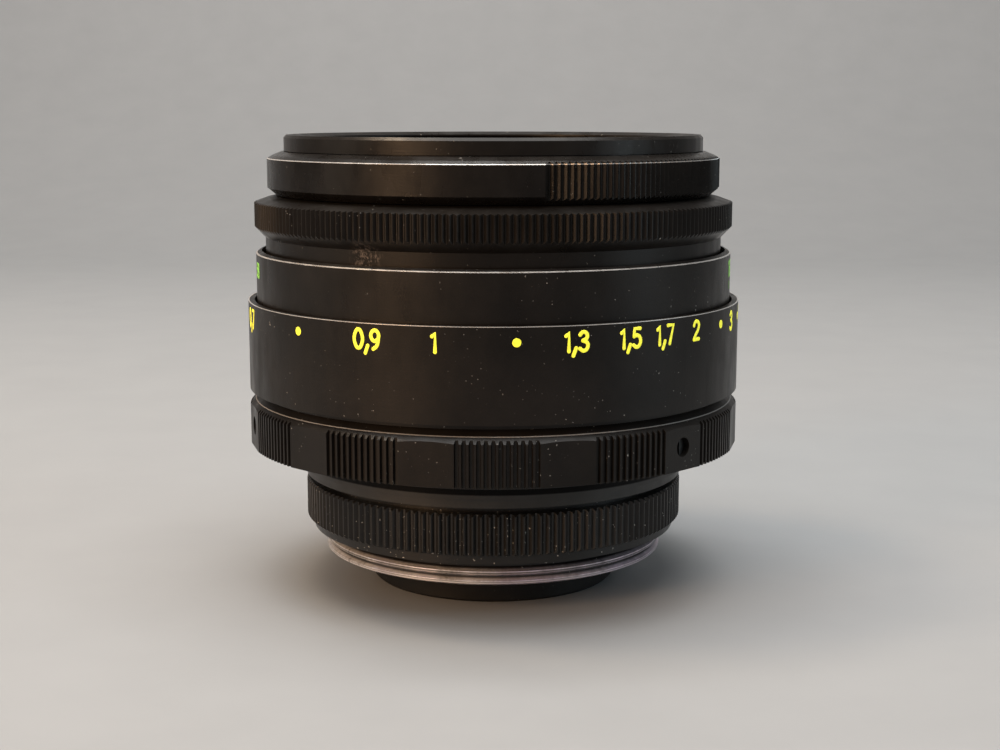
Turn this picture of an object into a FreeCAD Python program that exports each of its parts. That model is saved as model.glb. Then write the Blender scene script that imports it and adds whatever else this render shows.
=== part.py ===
import FreeCAD, Part
import math
import os
import Sketcher
import PartDesign

# Manual-focus prime lens, standing on its rear cell with the front up.
# Millimetres, +Z is the optical axis towards the front, Z = 0 is the rear rim.
# Rest is infinity focus, iris open. Plan angles are measured from -Y towards +X.

doc = FreeCAD.newDocument("PrimeLens")
sheet = doc.addObject("Spreadsheet::Sheet", "Sizes")

# ---------------------------------------------------------------- driving sizes
SIZES = [
    # clearances
    ("running_gap", 0.05), ("seat_gap", 0.03), ("axial_play", 0.10), ("free_gap", 0.30),
    # radii built outwards from the barrel tube
    ("tube_wall", 1.40), ("tube_space", 0.60), ("base_sleeve_wall", 2.40), ("slide_space", 0.50),
    ("helicoid_wall", 2.40), ("focus_wall", 2.15), ("scale_space", 0.40), ("scale_wall", 0.68),
    ("distance_wall", 0.77), ("grip_spigot_wall", 0.77), ("grip_foot_wall", 1.20),
    # rear mount
    ("thread_rad", 21.0), ("thread_start", 3.72), ("thread_len", 2.19), ("thread_depth", 0.55),
    ("undercut_len", 0.87), ("lip_len", 1.12), ("base_knurl_len", 4.84), ("base_groove_len", 0.79),
    ("mount_wall", 2.80), ("spigot_len", 3.47), ("base_knurl_count", 150),
    # base and focus ring heights
    ("flange_len", 1.21), ("neck_len", 1.36), ("neck_wall", 1.30), ("web_len", 2.40),
    ("grip_offset", 1.19), ("grip_len", 4.87), ("grip_cone_len", 1.43), ("grip_top_inset", 1.34),
    ("ring_space", 0.60), ("distance_len", 10.80), ("distance_web", 1.00), ("retainer_len", 1.20),
    ("foot_len", 0.80), ("focus_travel", 8.97), ("focus_turn", 272.0),
    # guide keys
    ("key_width", 3.00), ("key_len", 8.00), ("key_depth", 0.70), ("key_tip_space", 0.50),
    # barrel
    ("lock_len", 1.50), ("barrel_flange_len", 1.50), ("scale_lip_len", 0.80), ("scale_rim_len", 1.28),
    ("barrel_lip_len", 0.60), ("front_cell_wall", 1.20), ("arm_space", 1.60),
    # aperture ring
    ("skirt_space", 0.20), ("skirt_wall", 1.58), ("skirt_len", 2.73), ("aperture_bevel_len", 1.34),
    ("aperture_ring_wall", 4.68), ("aperture_knurl_len", 2.81), ("aperture_facet_len", 0.50),
    ("aperture_top_len", 0.32), ("aperture_knurl_count", 228), ("ring_turn", 40.0),
    # preset ring
    ("preset_bevel_len", 0.90), ("preset_len", 3.44), ("preset_facet_len", 0.40),
    ("preset_top_len", 0.43), ("preset_wall", 2.61), ("preset_pitch", 1.60), ("preset_sector", 71.0),
    # filter ring
    ("filter_skirt_wall", 1.20), ("filter_len", 1.56), ("filter_edge_len", 0.33),
    ("filter_lip_len", 0.50), ("filter_depth", 0.40), ("filter_pitch", 0.75),
    # glass
    ("front_glass_rad", 15.8), ("rear_glass_rad", 12.5), ("cement_gap", 0.02),
    # iris
    ("strip_width", 3.80), ("drive_arm", 2.2),
    ("blade_thick", 0.10), ("blade_pitch", 0.15), ("blade_turn", 34.3),
    # knurls and small screws
    ("knurl_depth", 0.35), ("grip_pitch", 1.53), ("flat_width", 12.0), ("screw_rad", 1.10),
    ("small_screw", 0.50), ("drive_screw_rad", 0.80), ("pivot_pin_rad", 0.55),
]

# ---------------------------------------------------------------- derived sizes
DERIVED = [
    ("doublet_rad", "front_glass_rad - 1.8"),
    ("last_glass_rad", "rear_glass_rad + 0.3"),
    ("rear_tube_rad", "last_glass_rad + 2.4"),
    ("front_cell_rad", "front_glass_rad + front_cell_wall"),
    ("front_bore", "front_cell_rad + arm_space"),
    ("front_flange_rad", "front_bore + 1.75"),
    ("tube_rad", "front_bore + tube_wall"),
    ("mount_bore", "thread_rad - mount_wall"),
    ("sleeve_bore", "tube_rad + tube_space"),
    ("sleeve_rad", "sleeve_bore + base_sleeve_wall"),
    ("helicoid_bore", "sleeve_rad + slide_space"),
    ("helicoid_rad", "helicoid_bore + helicoid_wall"),
    ("focus_bore", "helicoid_rad + running_gap"),
    ("focus_rad", "focus_bore + focus_wall"),
    ("scale_bore", "focus_rad + scale_space"),
    ("scale_rad", "scale_bore + scale_wall"),
    ("distance_bore", "scale_rad + free_gap"),
    ("distance_rad", "distance_bore + distance_wall"),
    ("grip_rad", "distance_rad"),
    ("web_bore", "sleeve_rad + running_gap"),
    ("neck_rad", "sleeve_rad + neck_wall"),
    ("flange_rad", "sleeve_rad + 0.5"),
    ("spigot_rad", "sleeve_bore - 0.2"),
    ("spigot_bore", "spigot_rad + seat_gap"),
    ("mount_rad", "thread_rad + 2.47"),
    ("lip_rad", "thread_rad + 1.6"),
    ("undercut_rad", "thread_rad - 0.8"),
    ("mount_groove_rad", "mount_rad - 1.47"),
    # heights of the mount and base
    ("thread_end", "thread_start + thread_len"),
    ("shoulder", "thread_end + undercut_len"),
    ("base_knurl_low", "shoulder + lip_len"),
    ("base_knurl_top", "base_knurl_low + base_knurl_len"),
    ("flange_low", "base_knurl_top + base_groove_len"),
    ("spigot_top", "flange_low + spigot_len"),
    ("flange_top", "flange_low + flange_len"),
    ("neck_top", "flange_top + neck_len"),
    ("web_low", "neck_top + axial_play"),
    ("web_top", "web_low + web_len"),
    ("retainer_low", "web_top + axial_play"),
    ("retainer_top", "retainer_low + retainer_len"),
    ("helicoid_low", "retainer_top + 0.5"),
    ("key_low", "helicoid_low + 6.6"),
    ("key_top", "key_low + key_len"),
    ("sleeve_top", "key_top + 0.4"),
    ("lock_low", "sleeve_top + 0.6"),
    ("lock_top", "lock_low + lock_len"),
    ("shelf", "lock_top + barrel_flange_len"),
    # heights of the focus ring
    ("grip_low", "web_low + grip_offset"),
    ("grip_edge", "grip_low + grip_len"),
    ("grip_top", "grip_edge + grip_cone_len"),
    ("grip_cone_rad", "grip_rad - grip_top_inset"),
    ("foot_low", "grip_low + 0.2"),
    ("foot_top", "foot_low + foot_len"),
    ("foot_rad", "focus_rad + grip_foot_wall"),
    ("grip_foot_bore", "foot_rad + seat_gap"),
    ("grip_bore", "focus_rad + seat_gap"),
    ("grip_spigot_rad", "grip_bore + grip_spigot_wall"),
    ("distance_low", "grip_top + ring_space"),
    ("distance_web_top", "distance_low + distance_web"),
    ("distance_top", "distance_low + distance_len"),
    ("focus_sleeve_top", "distance_top - 0.5"),
    ("scale_low", "distance_web_top + free_gap"),
    ("scale_lip_top", "shelf + scale_lip_len"),
    ("scale_shoulder", "scale_lip_top + scale_rim_len - 0.33"),
    ("scale_top", "scale_lip_top + scale_rim_len"),
    ("scale_lip_bore", "helicoid_rad + 0.3"),
    ("scale_rim_rad", "scale_rad - 0.48"),
    # aperture ring and the front of the barrel
    ("collar_rad", "helicoid_rad"),
    ("skirt_bore", "collar_rad + 0.5"),
    ("skirt_rad", "skirt_bore + skirt_wall"),
    ("skirt_low", "scale_lip_top + skirt_space"),
    ("skirt_top", "skirt_low + skirt_len"),
    ("aperture_knurl_low", "skirt_top + aperture_bevel_len"),
    ("aperture_knurl_top", "aperture_knurl_low + aperture_knurl_len"),
    ("aperture_facet_top", "aperture_knurl_top + aperture_facet_len"),
    ("aperture_top", "aperture_facet_top + aperture_top_len"),
    ("aperture_seat", "skirt_low + 4.5"),
    ("collar_top", "aperture_seat - axial_play"),
    ("journal_rad", "collar_rad - 1.35"),
    ("aperture_bore", "journal_rad + running_gap"),
    ("aperture_rad", "aperture_bore + aperture_ring_wall"),
    ("aperture_facet_rad", "aperture_rad - 1.38"),
    ("aperture_top_rad", "aperture_rad - 2.68"),
    ("preset_low", "aperture_top + axial_play"),
    ("preset_edge", "preset_low + preset_bevel_len"),
    ("preset_facet", "preset_edge + preset_len"),
    ("preset_facet_top", "preset_facet + preset_facet_len"),
    ("preset_top", "preset_facet_top + preset_top_len"),
    ("front_thread_rad", "journal_rad - 0.75"),
    ("filter_bore", "front_thread_rad + seat_gap"),
    ("filter_skirt_rad", "filter_bore + filter_skirt_wall - 0.03"),
    ("preset_bore", "filter_skirt_rad + running_gap"),
    ("preset_rad", "preset_bore + preset_wall"),
    ("preset_low_rad", "preset_rad - 1.06"),
    ("preset_facet_rad", "preset_rad - 0.66"),
    ("preset_top_rad", "preset_rad - 1.76"),
    ("filter_skirt_low", "preset_low + 0.55"),
    ("journal_top", "filter_skirt_low - 0.05"),
    ("barrel_top", "journal_top + 2.6"),
    ("filter_lip_top", "barrel_top + filter_lip_len"),
    ("filter_flange", "preset_top + axial_play"),
    ("filter_edge", "filter_flange + filter_len"),
    ("filter_top", "filter_edge + filter_edge_len"),
    ("filter_rad", "filter_skirt_rad + 0.6"),
    ("filter_rim_rad", "filter_rad - 0.28"),
    ("filter_crest", "filter_bore + 0.27"),
    ("filter_root", "filter_crest + filter_depth"),
    ("filter_lip_bore", "filter_bore - 0.43"),
    ("filter_mouth_rad", "filter_crest + 0.7"),
    # optical cells
    ("iris_floor", "spigot_top + 6.6"),
    ("barrel_low", "spigot_top + 0.6"),
    ("rear_seat", "iris_floor - barrel_lip_len"),
    ("rear_cell_rad", "min(mount_bore - 0.4; tube_rad - 2.2)"),
    ("rear_cell_bore", "rear_glass_rad + 0.05"),
    ("barrel_rear_bore", "rear_cell_rad + 0.05"),
    ("barrel_lip_bore", "rear_cell_rad - 1.8"),
    ("housing_rad", "front_bore - 0.05"),
    ("housing_wall_bore", "housing_rad - 1.15"),
    ("pivot_rad", "housing_wall_bore - 1.8"),
    ("strip_outer", "pivot_rad - 1.2"),
    ("iris_open", "strip_outer - strip_width"),
    ("housing_floor_top", "iris_floor + 0.8"),
    ("cam_low", "housing_floor_top + 1.5"),
    ("cam_top", "cam_low + 0.9"),
    ("cam_rad", "housing_wall_bore - 0.1"),
    ("housing_top", "cam_top - 0.1"),
    ("front_cell_low", "cam_top + 0.2"),
    ("doublet_seat", "front_cell_low + 1.6"),
    ("cement_low", "doublet_seat + 4.88"),
    ("cement_high", "cement_low + cement_gap"),
    ("front_seat", "doublet_seat + 11.8"),
    ("front_flange_low", "collar_top - 0.4"),
    ("front_flange_top", "front_flange_low + 2.5"),
    ("doublet_cell_rad", "doublet_rad + 1.0"),
    ("front_glass_bore", "front_glass_rad + seat_gap"),
    ("doublet_bore", "doublet_rad + seat_gap"),
    ("front_counterbore", "front_flange_rad + 0.05"),
    ("name_rad", "front_flange_rad + 0.02"),
    ("name_rim_rad", "filter_lip_bore - 0.1"),
    ("name_low", "barrel_top + 0.05"),
    ("name_in", "front_glass_rad + 0.5"),
    ("name_in_top", "front_flange_top + 1.8"),
    ("name_face_rad", "name_rad - 0.3"),
    ("last_bore", "last_glass_rad + 0.05"),
    ("last_seat_rad", "last_glass_rad - 0.8"),
    ("rear_seat_rad", "rear_glass_rad - 0.7"),
    ("rear_cone_low", "spigot_top - 3.5"),
    ("rear_cone_top", "spigot_top - 2.5"),
    ("rear_rim_rad", "rear_tube_rad - 0.3"),
    ("rear_retainer_low", "rear_seat - 1.0"),
    ("arm_low", "cam_top + 0.8"),
    ("arm_top", "front_flange_low - 0.6"),
    ("drive_level", "skirt_low + 2.0"),
]

DETAIL = [
    ("thread_root", "thread_rad - thread_depth"),
    ("base_knurl_in", "mount_rad - 0.25"),
    ("base_knurl_low_in", "base_knurl_low + 0.25"),
    ("base_knurl_top_in", "base_knurl_top - 0.25"),
    ("mount_screw_level", "flange_low + flange_len / 2"),
    ("mount_screw_hole", "small_screw + 0.01"),
    ("key_floor", "sleeve_rad - key_depth"),
    ("key_outer", "focus_bore - key_tip_space"),
    ("key_seat_out", "sleeve_rad + 1"),
    ("key_seat_pos", "key_width / 2 + 0.01"),
    ("key_seat_neg", "-(key_width / 2 + 0.01)"),
    ("key_screw_low", "key_low + key_len / 4"),
    ("key_screw_top", "key_low + 3 * key_len / 4"),
    ("key_screw_hole", "0.61"),
    ("retainer_bore", "sleeve_rad"),
    ("retainer_rad", "sleeve_rad + 1.6"),
    ("stop_hole", "0.46"),
    ("stop_level", "neck_top - 0.65"),
    ("web_rad", "neck_rad + 1.3"),
    ("limit_hole", "0.46"),
    ("limit_at", "neck_rad + 0.7"),
    ("limit_len", "1.0"),
    ("grip_screw_level", "grip_low + 2.7"),
    ("grip_screw_hole", "screw_rad + 0.02"),
    ("flat_floor", "grip_rad * cos(flat_width / 2 * 1 deg)"),
    ("flat_out", "grip_rad + 1"),
    ("flat_pos", "grip_rad * sin(flat_width / 2 * 1 deg) + 0.3"),
    ("flat_neg", "-(grip_rad * sin(flat_width / 2 * 1 deg) + 0.3)"),
    ("distance_screw_at", "(grip_bore + grip_spigot_rad) / 2"),
    ("distance_screw_hole", "0.31"),
    ("distance_head_hole", "0.37"),
    ("distance_screw_low", "distance_low - 1.2"),
    ("distance_screw_len", "3"),
    ("distance_head_low", "distance_web_top - 0.35"),
    ("distance_head_len", "1"),
    ("tube_seat", "tube_rad + seat_gap"),
    ("slot_half", "key_width / 2 + 0.05"),
    ("slot_half_neg", "-(key_width / 2 + 0.05)"),
    ("slot_in", "helicoid_bore - 1"),
    ("slot_out", "helicoid_rad + 1"),
    ("slot_len", "sleeve_top + 0.2 - helicoid_low"),
    ("flange_edge", "scale_bore - seat_gap"),
    ("sleeve_screw_at", "scale_bore - 1.1"),
    ("sleeve_screw_hole", "0.41"),
    ("sleeve_head_hole", "0.72"),
    ("sleeve_screw_low", "shelf - 1.2"),
    ("sleeve_screw_len", "3"),
    ("sleeve_head_low", "scale_lip_top - 0.4"),
    ("sleeve_head_len", "1"),
    ("drive_slot_in", "front_bore - 0.5"),
    ("drive_slot_out", "collar_rad + 0.5"),
    ("ball_level", "(collar_top + journal_top) / 2"),
    ("ball_hole", "0.75"),
    ("ball_depth", "3.4"),
    ("lock_rad", "sleeve_rad + 0.2"),
    ("preset_screw_level", "preset_edge + preset_len / 2"),
    ("preset_screw_hole", "small_screw + 0.01"),
    ("pivot_hole_low", "iris_floor + 0.1"),
    ("pivot_hole_len", "2"),
    ("cell_step", "front_seat - 0.9"),
    ("drive_slot_low", "drive_level - drive_screw_rad - 0.1"),
    ("drive_slot_top", "drive_level + drive_screw_rad + 0.1"),
    ("slot_margin", "(drive_screw_rad + 0.12) / front_bore * 180 / pi"),
    ("drive_slot_turn", "ring_turn + 2 * slot_margin"),
    ("drive_screw_hole", "drive_screw_rad + 0.01"),
    ("pivot_hole", "pivot_pin_rad + 0.05"),
    ("inner_rim", "rear_retainer_low"),
    ("inner_cement", "inner_rim - 4.5"),
    ("inner_vertex", "inner_cement - 5.9"),
    ("inner_radius", "22"),
    ("last_low_vertex", "thread_start - 1.94"),
    ("last_low_radius", "38"),
    ("last_top_radius", "60"),
    ("last_edge_low", "last_low_vertex + last_low_radius - sqrt(last_low_radius ^ 2 - last_glass_rad ^ 2)"),
    ("last_top_vertex", "last_edge_low + 2 + last_top_radius"
                        " - sqrt(last_top_radius ^ 2 - last_glass_rad ^ 2)"),
    ("rear_shelf", "inner_vertex + inner_radius - sqrt(inner_radius ^ 2 - rear_seat_rad ^ 2) - 0.01"),
    ("last_shelf", "last_top_vertex - last_top_radius"
                   " + sqrt(last_top_radius ^ 2 - last_seat_rad ^ 2) + 0.01"),
    ("rear_rim_low", "0.0001"),
    ("rear_chamfer", "0.3"),
]

THREAD_CRESTS = (("a", 0.26), ("b", 0.56), ("c", 0.86), ("d", 0.96), ("e", 1.26), ("f", 1.56))
for tag, offset in THREAD_CRESTS:
    DETAIL.append(("thread_" + tag, "thread_start + %s * thread_len / 1.97" % offset))

FILTER_TURNS = "wxyz"
FILTER_STEPS = (("a", 0.10, "filter_crest"), ("b", 0.40, "filter_crest"), ("c", 0.55, "filter_root"),
                ("d", 0.85, "filter_root"))
for turn_no, turn_tag in enumerate(FILTER_TURNS):
    for tag, share, wall in FILTER_STEPS:
        DETAIL.append(("filter_%s_turn%s" % (tag, turn_tag),
                       "filter_top - 0.3 - (%d + %s) * filter_pitch"
                       " * (filter_top - 0.3 - filter_lip_top) / 3.26" % (turn_no, share)))


def groove_cells(tag, crest, root, mouth_half, root_half):
    """Cells for a groove cutter: it starts outside the crest and ends at the root."""
    DETAIL.append((tag + "_out", "%s + 0.3" % crest))
    DETAIL.append((tag + "_root", "%s - %s" % (crest, root)))
    DETAIL.append((tag + "_mouth_pos", mouth_half))
    DETAIL.append((tag + "_mouth_neg", "-(%s)" % mouth_half))
    DETAIL.append((tag + "_root_pos", root_half))
    DETAIL.append((tag + "_root_neg", "-(%s)" % root_half))


groove_cells("base_knurl", "mount_rad", "0.36", "0.66", "0.12")
groove_cells("grip_knurl", "grip_rad", "knurl_depth", "0.36", "0.17")
groove_cells("preset_knurl", "preset_rad", "0.50", "0.88", "0.05")
groove_cells("aperture_knurl", "aperture_rad", "knurl_depth", "0.62", "0.05")

ROWS = [(name, str(value)) for name, value in SIZES]
ROWS = ROWS + [(name, "=" + rule) for name, rule in DERIVED + DETAIL]
for row, (name, content) in enumerate(ROWS, start=1):
    sheet.set("A%d" % row, name)
    sheet.set("B%d" % row, content)
    sheet.setAlias("B%d" % row, name)
doc.recompute()


def size(name):
    """Read one size from the sheet as a number."""
    return float(sheet.get(name))


def bind(target, prop, rule):
    """Drive a property from the sheet; rule is written with the sheet's names."""
    words = []
    for word in rule.split():
        words.append("Sizes." + word if word[0].isalpha() else word)
    target.setExpression(prop, " ".join(words))


X_AXIS = FreeCAD.Vector(1, 0, 0)
Y_AXIS = FreeCAD.Vector(0, 1, 0)
Z_AXIS = FreeCAD.Vector(0, 0, 1)
ORIGIN = FreeCAD.Vector(0, 0, 0)
nodes = []


def plan_to_polar(plan_deg):
    """Plan angle (from -Y towards +X) to a turn about Z measured from +X."""
    return plan_deg - 90.0


def origin_feature(body, role):
    for feature in body.Origin.OriginFeatures:
        if feature.Role == role:
            return feature
    raise ValueError(role)


def new_body(name, turn_deg=0.0):
    body = doc.addObject("PartDesign::Body", name)
    body.Label = name
    body.AllowCompound = True
    body.Placement = FreeCAD.Placement(ORIGIN, FreeCAD.Rotation(Z_AXIS, turn_deg))
    nodes.append(body)
    return body


def sketch_on(body, name, role):
    sketch = body.newObject("Sketcher::SketchObject", name)
    sketch.AttachmentSupport = [(origin_feature(body, role), "")]
    sketch.MapMode = "FlatFace"
    return sketch


def outline(sketch, corners):
    """Closed polygon whose corners are pairs of sheet names."""
    spots = [FreeCAD.Vector(size(a), size(b), 0) for a, b in corners]
    count = len(spots)
    for i in range(count):
        sketch.addGeometry(Part.LineSegment(spots[i], spots[(i + 1) % count]), False)
    for i in range(count):
        sketch.addConstraint(Sketcher.Constraint("Coincident", i, 2, (i + 1) % count, 1))
    for i in range(count):
        for kind, value, rule in (("DistanceX", spots[i].x, corners[i][0]),
                                  ("DistanceY", spots[i].y, corners[i][1])):
            index = sketch.addConstraint(Sketcher.Constraint(kind, -1, 1, i, 1, value))
            bind(sketch, "Constraints[%d]" % index, rule)


def turned(name, corners, turn_deg=0.0):
    """Ring or tube turned about the optical axis from a profile of (radius, height)."""
    body = new_body(name, turn_deg)
    sketch = sketch_on(body, name + "_profile", "XZ_Plane")
    outline(sketch, corners)
    turn = body.newObject("PartDesign::Revolution", name + "_turn")
    turn.Profile = sketch
    turn.ReferenceAxis = (sketch, ["V_Axis"])
    turn.Angle = 360
    sketch.Visibility = False
    doc.recompute()
    return body


def check_cut(body, before):
    doc.recompute()
    if not body.Shape.Volume < before:
        raise RuntimeError("nothing was cut from " + body.Label)


def groove_sketch(body, name, outer, root, half_mouth, half_root, start_deg):
    """One axial groove in plan; all sizes are rules on the sheet's names."""
    sketch = sketch_on(body, name, "XY_Plane")
    sketch.AttachmentOffset = FreeCAD.Placement(ORIGIN, FreeCAD.Rotation(Z_AXIS, start_deg))
    outline(sketch, [(outer, half_mouth[0]), (outer, half_mouth[1]),
                     (root, half_root[1]), (root, half_root[0])])
    return sketch


def through_pocket(body, name, sketch):
    pocket = body.newObject("PartDesign::Pocket", name)
    pocket.Profile = sketch
    pocket.Type = "ThroughAll"
    pocket.Midplane = True
    sketch.Visibility = False
    return pocket


def polar(body, name, original, angle_deg, count):
    pattern = body.newObject("PartDesign::PolarPattern", name)
    pattern.Originals = [original]
    pattern.Axis = (origin_feature(body, "Z_Axis"), [""])
    pattern.Angle = angle_deg
    pattern.Occurrences = count
    body.Tip = pattern
    return pattern


def knurl(body, tag, start_deg, count):
    before = body.Shape.Volume
    sketch = groove_sketch(body, tag + "_groove", tag + "_out", tag + "_root",
                           (tag + "_mouth_neg", tag + "_mouth_pos"),
                           (tag + "_root_neg", tag + "_root_pos"), start_deg)
    pocket = through_pocket(body, tag + "_pocket", sketch)
    doc.recompute()
    polar(body, tag + "_pattern", pocket, 360.0, count)
    check_cut(body, before)


def radial_holes(body, tag, radius_cell, level_cell, count, angle_deg=360.0):
    """Round radial holes, cut from the axis outwards along the body's own +X."""
    before = body.Shape.Volume
    sketch = sketch_on(body, tag + "_hole", "YZ_Plane")
    circle_at(sketch, None, level_cell, radius_cell)
    pocket = body.newObject("PartDesign::Pocket", tag + "_drill")
    pocket.Profile = sketch
    pocket.Type = "ThroughAll"
    pocket.Reversed = True
    sketch.Visibility = False
    if count > 1:
        polar(body, tag + "_holes", pocket, angle_deg, count)
    else:
        body.Tip = pocket
    check_cut(body, before)


def circle_at(sketch, across, up, radius):
    """Circle centred at (across, up); across may be None for the vertical axis."""
    x = 0.0 if across is None else size(across)
    sketch.addGeometry(Part.Circle(FreeCAD.Vector(x, size(up), 0), Z_AXIS, size(radius)), False)
    index = sketch.addConstraint(Sketcher.Constraint("Radius", 0, size(radius)))
    bind(sketch, "Constraints[%d]" % index, radius)
    if across is None:
        sketch.addConstraint(Sketcher.Constraint("PointOnObject", 0, 3, -2))
    else:
        index = sketch.addConstraint(Sketcher.Constraint("DistanceX", -1, 1, 0, 3, x))
        bind(sketch, "Constraints[%d]" % index, across)
    index = sketch.addConstraint(Sketcher.Constraint("DistanceY", -1, 1, 0, 3, size(up)))
    bind(sketch, "Constraints[%d]" % index, up)


def shape_node(name, shape):
    """Node whose form needs Part functions."""
    node = doc.addObject("Part::Feature", name)
    node.Label = name
    node.Shape = Part.makeCompound([shape])
    node.Placement = FreeCAD.Placement()
    nodes.append(node)
    return node


def radial_screws(name, inner, outer, radius, level, plan_angles, slot=True):
    """Slotted headless screws lying along the radius at one level."""
    solids = []
    for plan in plan_angles:
        screw = Part.makeCylinder(radius, outer - inner, FreeCAD.Vector(inner, 0, level),
                                  FreeCAD.Vector(1, 0, 0))
        if slot:
            depth = min(0.5, 0.4 * (outer - inner))
            width = 0.4 * radius
            cutter = Part.makeBox(depth * 2, width, radius * 3,
                                  FreeCAD.Vector(outer - depth, -width / 2, level - radius * 1.5))
            screw = screw.cut(cutter)
        screw.rotate(ORIGIN, Z_AXIS, plan_to_polar(plan))
        solids.append(screw)
    return shape_node(name, Part.makeCompound(solids))


def axial_screws(name, radius_at, low, top, shank, head, head_len, plan_angles):
    """Screws parallel to the axis with a slotted cylinder head at the top."""
    solids = []
    for plan in plan_angles:
        spot = FreeCAD.Vector(radius_at, 0, low)
        screw = Part.makeCylinder(shank, top - low, spot)
        cap = Part.makeCylinder(head, head_len, FreeCAD.Vector(radius_at, 0, top - head_len))
        screw = screw.fuse(cap).removeSplitter()
        slot = Part.makeBox(head * 3, head * 0.4, head_len,
                            FreeCAD.Vector(radius_at - head * 1.5, -head * 0.2, top - head_len / 2))
        screw = screw.cut(slot)
        screw.rotate(ORIGIN, Z_AXIS, plan_to_polar(plan))
        solids.append(screw)
    return shape_node(name, Part.makeCompound(solids))


def axial_holes(body, tag, at_cell, radius_cell, low_cell, len_cell, count):
    """Round holes parallel to the axis, from low_cell upwards by len_cell."""
    before = body.Shape.Volume
    sketch = body.newObject("Sketcher::SketchObject", tag + "_spot")
    sketch.AttachmentSupport = [(origin_feature(body, "XY_Plane"), "")]
    sketch.MapMode = "FlatFace"
    bind(sketch, ".AttachmentOffset.Base.z", low_cell)
    x = size(at_cell)
    sketch.addGeometry(Part.Circle(FreeCAD.Vector(x, 0, 0), Z_AXIS, size(radius_cell)), False)
    index = sketch.addConstraint(Sketcher.Constraint("Radius", 0, size(radius_cell)))
    bind(sketch, "Constraints[%d]" % index, radius_cell)
    index = sketch.addConstraint(Sketcher.Constraint("DistanceX", -1, 1, 0, 3, x))
    bind(sketch, "Constraints[%d]" % index, at_cell)
    sketch.addConstraint(Sketcher.Constraint("PointOnObject", 0, 3, -1))
    pocket = body.newObject("PartDesign::Pocket", tag + "_bore")
    pocket.Profile = sketch
    pocket.Reversed = True
    bind(pocket, "Length", len_cell)
    sketch.Visibility = False
    if count > 1:
        polar(body, tag + "_bores", pocket, 360.0, count)
    else:
        body.Tip = pocket
    check_cut(body, before)


# ---------------------------------------------------------------- plan angles
PRESET_KNURL_PLANS = (12.0, 146.0)
GRIP_SCREW_PLANS = (45.8, 165.8, 285.8)
MOUNT_SCREW_PLANS = (100.0, 180.0, 260.0)
PRESET_SCREW_PLANS = (105.0, 180.0, 255.0)
DRIVE_PLAN = 170.0
STOP_PLAN = 200.0

# ---------------------------------------------------------------- mount ring
mount_ring = turned("mount_ring", [
    ("mount_bore", "thread_start"), ("thread_root", "thread_start"), ("thread_rad", "thread_a"),
    ("thread_rad", "thread_b"), ("thread_root", "thread_c"), ("thread_root", "thread_d"),
    ("thread_rad", "thread_e"), ("thread_rad", "thread_f"), ("undercut_rad", "thread_end"),
    ("undercut_rad", "shoulder"), ("lip_rad", "shoulder"), ("lip_rad", "base_knurl_low"),
    ("base_knurl_in", "base_knurl_low"), ("mount_rad", "base_knurl_low_in"),
    ("mount_rad", "base_knurl_top_in"), ("base_knurl_in", "base_knurl_top"),
    ("mount_groove_rad", "base_knurl_top"), ("mount_groove_rad", "flange_low"),
    ("spigot_rad", "flange_low"), ("spigot_rad", "spigot_top"), ("mount_bore", "spigot_top")],
    plan_to_polar(MOUNT_SCREW_PLANS[0]))
knurl(mount_ring, "base_knurl", 1.0, int(size("base_knurl_count")))
mount_screw_span = MOUNT_SCREW_PLANS[-1] - MOUNT_SCREW_PLANS[0]
radial_holes(mount_ring, "mount_screw_in_ring", "mount_screw_hole", "mount_screw_level", 3,
             mount_screw_span)

# ---------------------------------------------------------------- base body
base_body = turned("base_body", [
    ("spigot_bore", "flange_low"), ("flange_rad", "flange_low"), ("flange_rad", "flange_top"),
    ("neck_rad", "flange_top"), ("neck_rad", "neck_top"), ("sleeve_rad", "neck_top"),
    ("sleeve_rad", "sleeve_top"), ("sleeve_bore", "sleeve_top"), ("sleeve_bore", "spigot_top"),
    ("spigot_bore", "spigot_top")], plan_to_polar(MOUNT_SCREW_PLANS[0]))
radial_holes(base_body, "mount_screw_in_base", "mount_screw_hole", "mount_screw_level", 3,
             mount_screw_span)
radial_screws("mount_ring_screws", size("mount_bore") + 0.8, size("flange_rad") - 0.15,
              size("small_screw"), size("mount_screw_level"), MOUNT_SCREW_PLANS)

# guide keys sit in flat-bottomed seats on both sides of the base sleeve
KEY_PLANS = (10.0, 190.0)
key_turn = KEY_PLANS[0] - MOUNT_SCREW_PLANS[0]
before = base_body.Shape.Volume
seat = sketch_on(base_body, "key_seat", "XY_Plane")
seat.AttachmentOffset = FreeCAD.Placement(ORIGIN, FreeCAD.Rotation(Z_AXIS, key_turn))
bind(seat, ".AttachmentOffset.Base.z", "key_low")
outline(seat, [("key_floor", "key_seat_neg"), ("key_seat_out", "key_seat_neg"),
               ("key_seat_out", "key_seat_pos"), ("key_floor", "key_seat_pos")])
seat_cut = base_body.newObject("PartDesign::Pocket", "key_seat_cut")
seat_cut.Profile = seat
seat_cut.Reversed = True
bind(seat_cut, "Length", "key_len")
doc.recompute()
polar(base_body, "key_seats", seat_cut, 360.0, 2)
check_cut(base_body, before)
for tag, level in (("key_low_screw", "key_screw_low"), ("key_top_screw", "key_screw_top")):
    before = base_body.Shape.Volume
    spot = base_body.newObject("Sketcher::SketchObject", tag)
    spot.AttachmentSupport = [(origin_feature(base_body, "YZ_Plane"), "")]
    spot.MapMode = "FlatFace"
    spot.AttachmentOffset = FreeCAD.Placement(ORIGIN, FreeCAD.Rotation(Y_AXIS, key_turn))
    circle_at(spot, None, level, "key_screw_hole")
    drill = base_body.newObject("PartDesign::Pocket", tag + "_drill")
    drill.Profile = spot
    drill.Type = "ThroughAll"
    drill.Midplane = True
    spot.Visibility = False
    base_body.Tip = drill
    check_cut(base_body, before)

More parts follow.
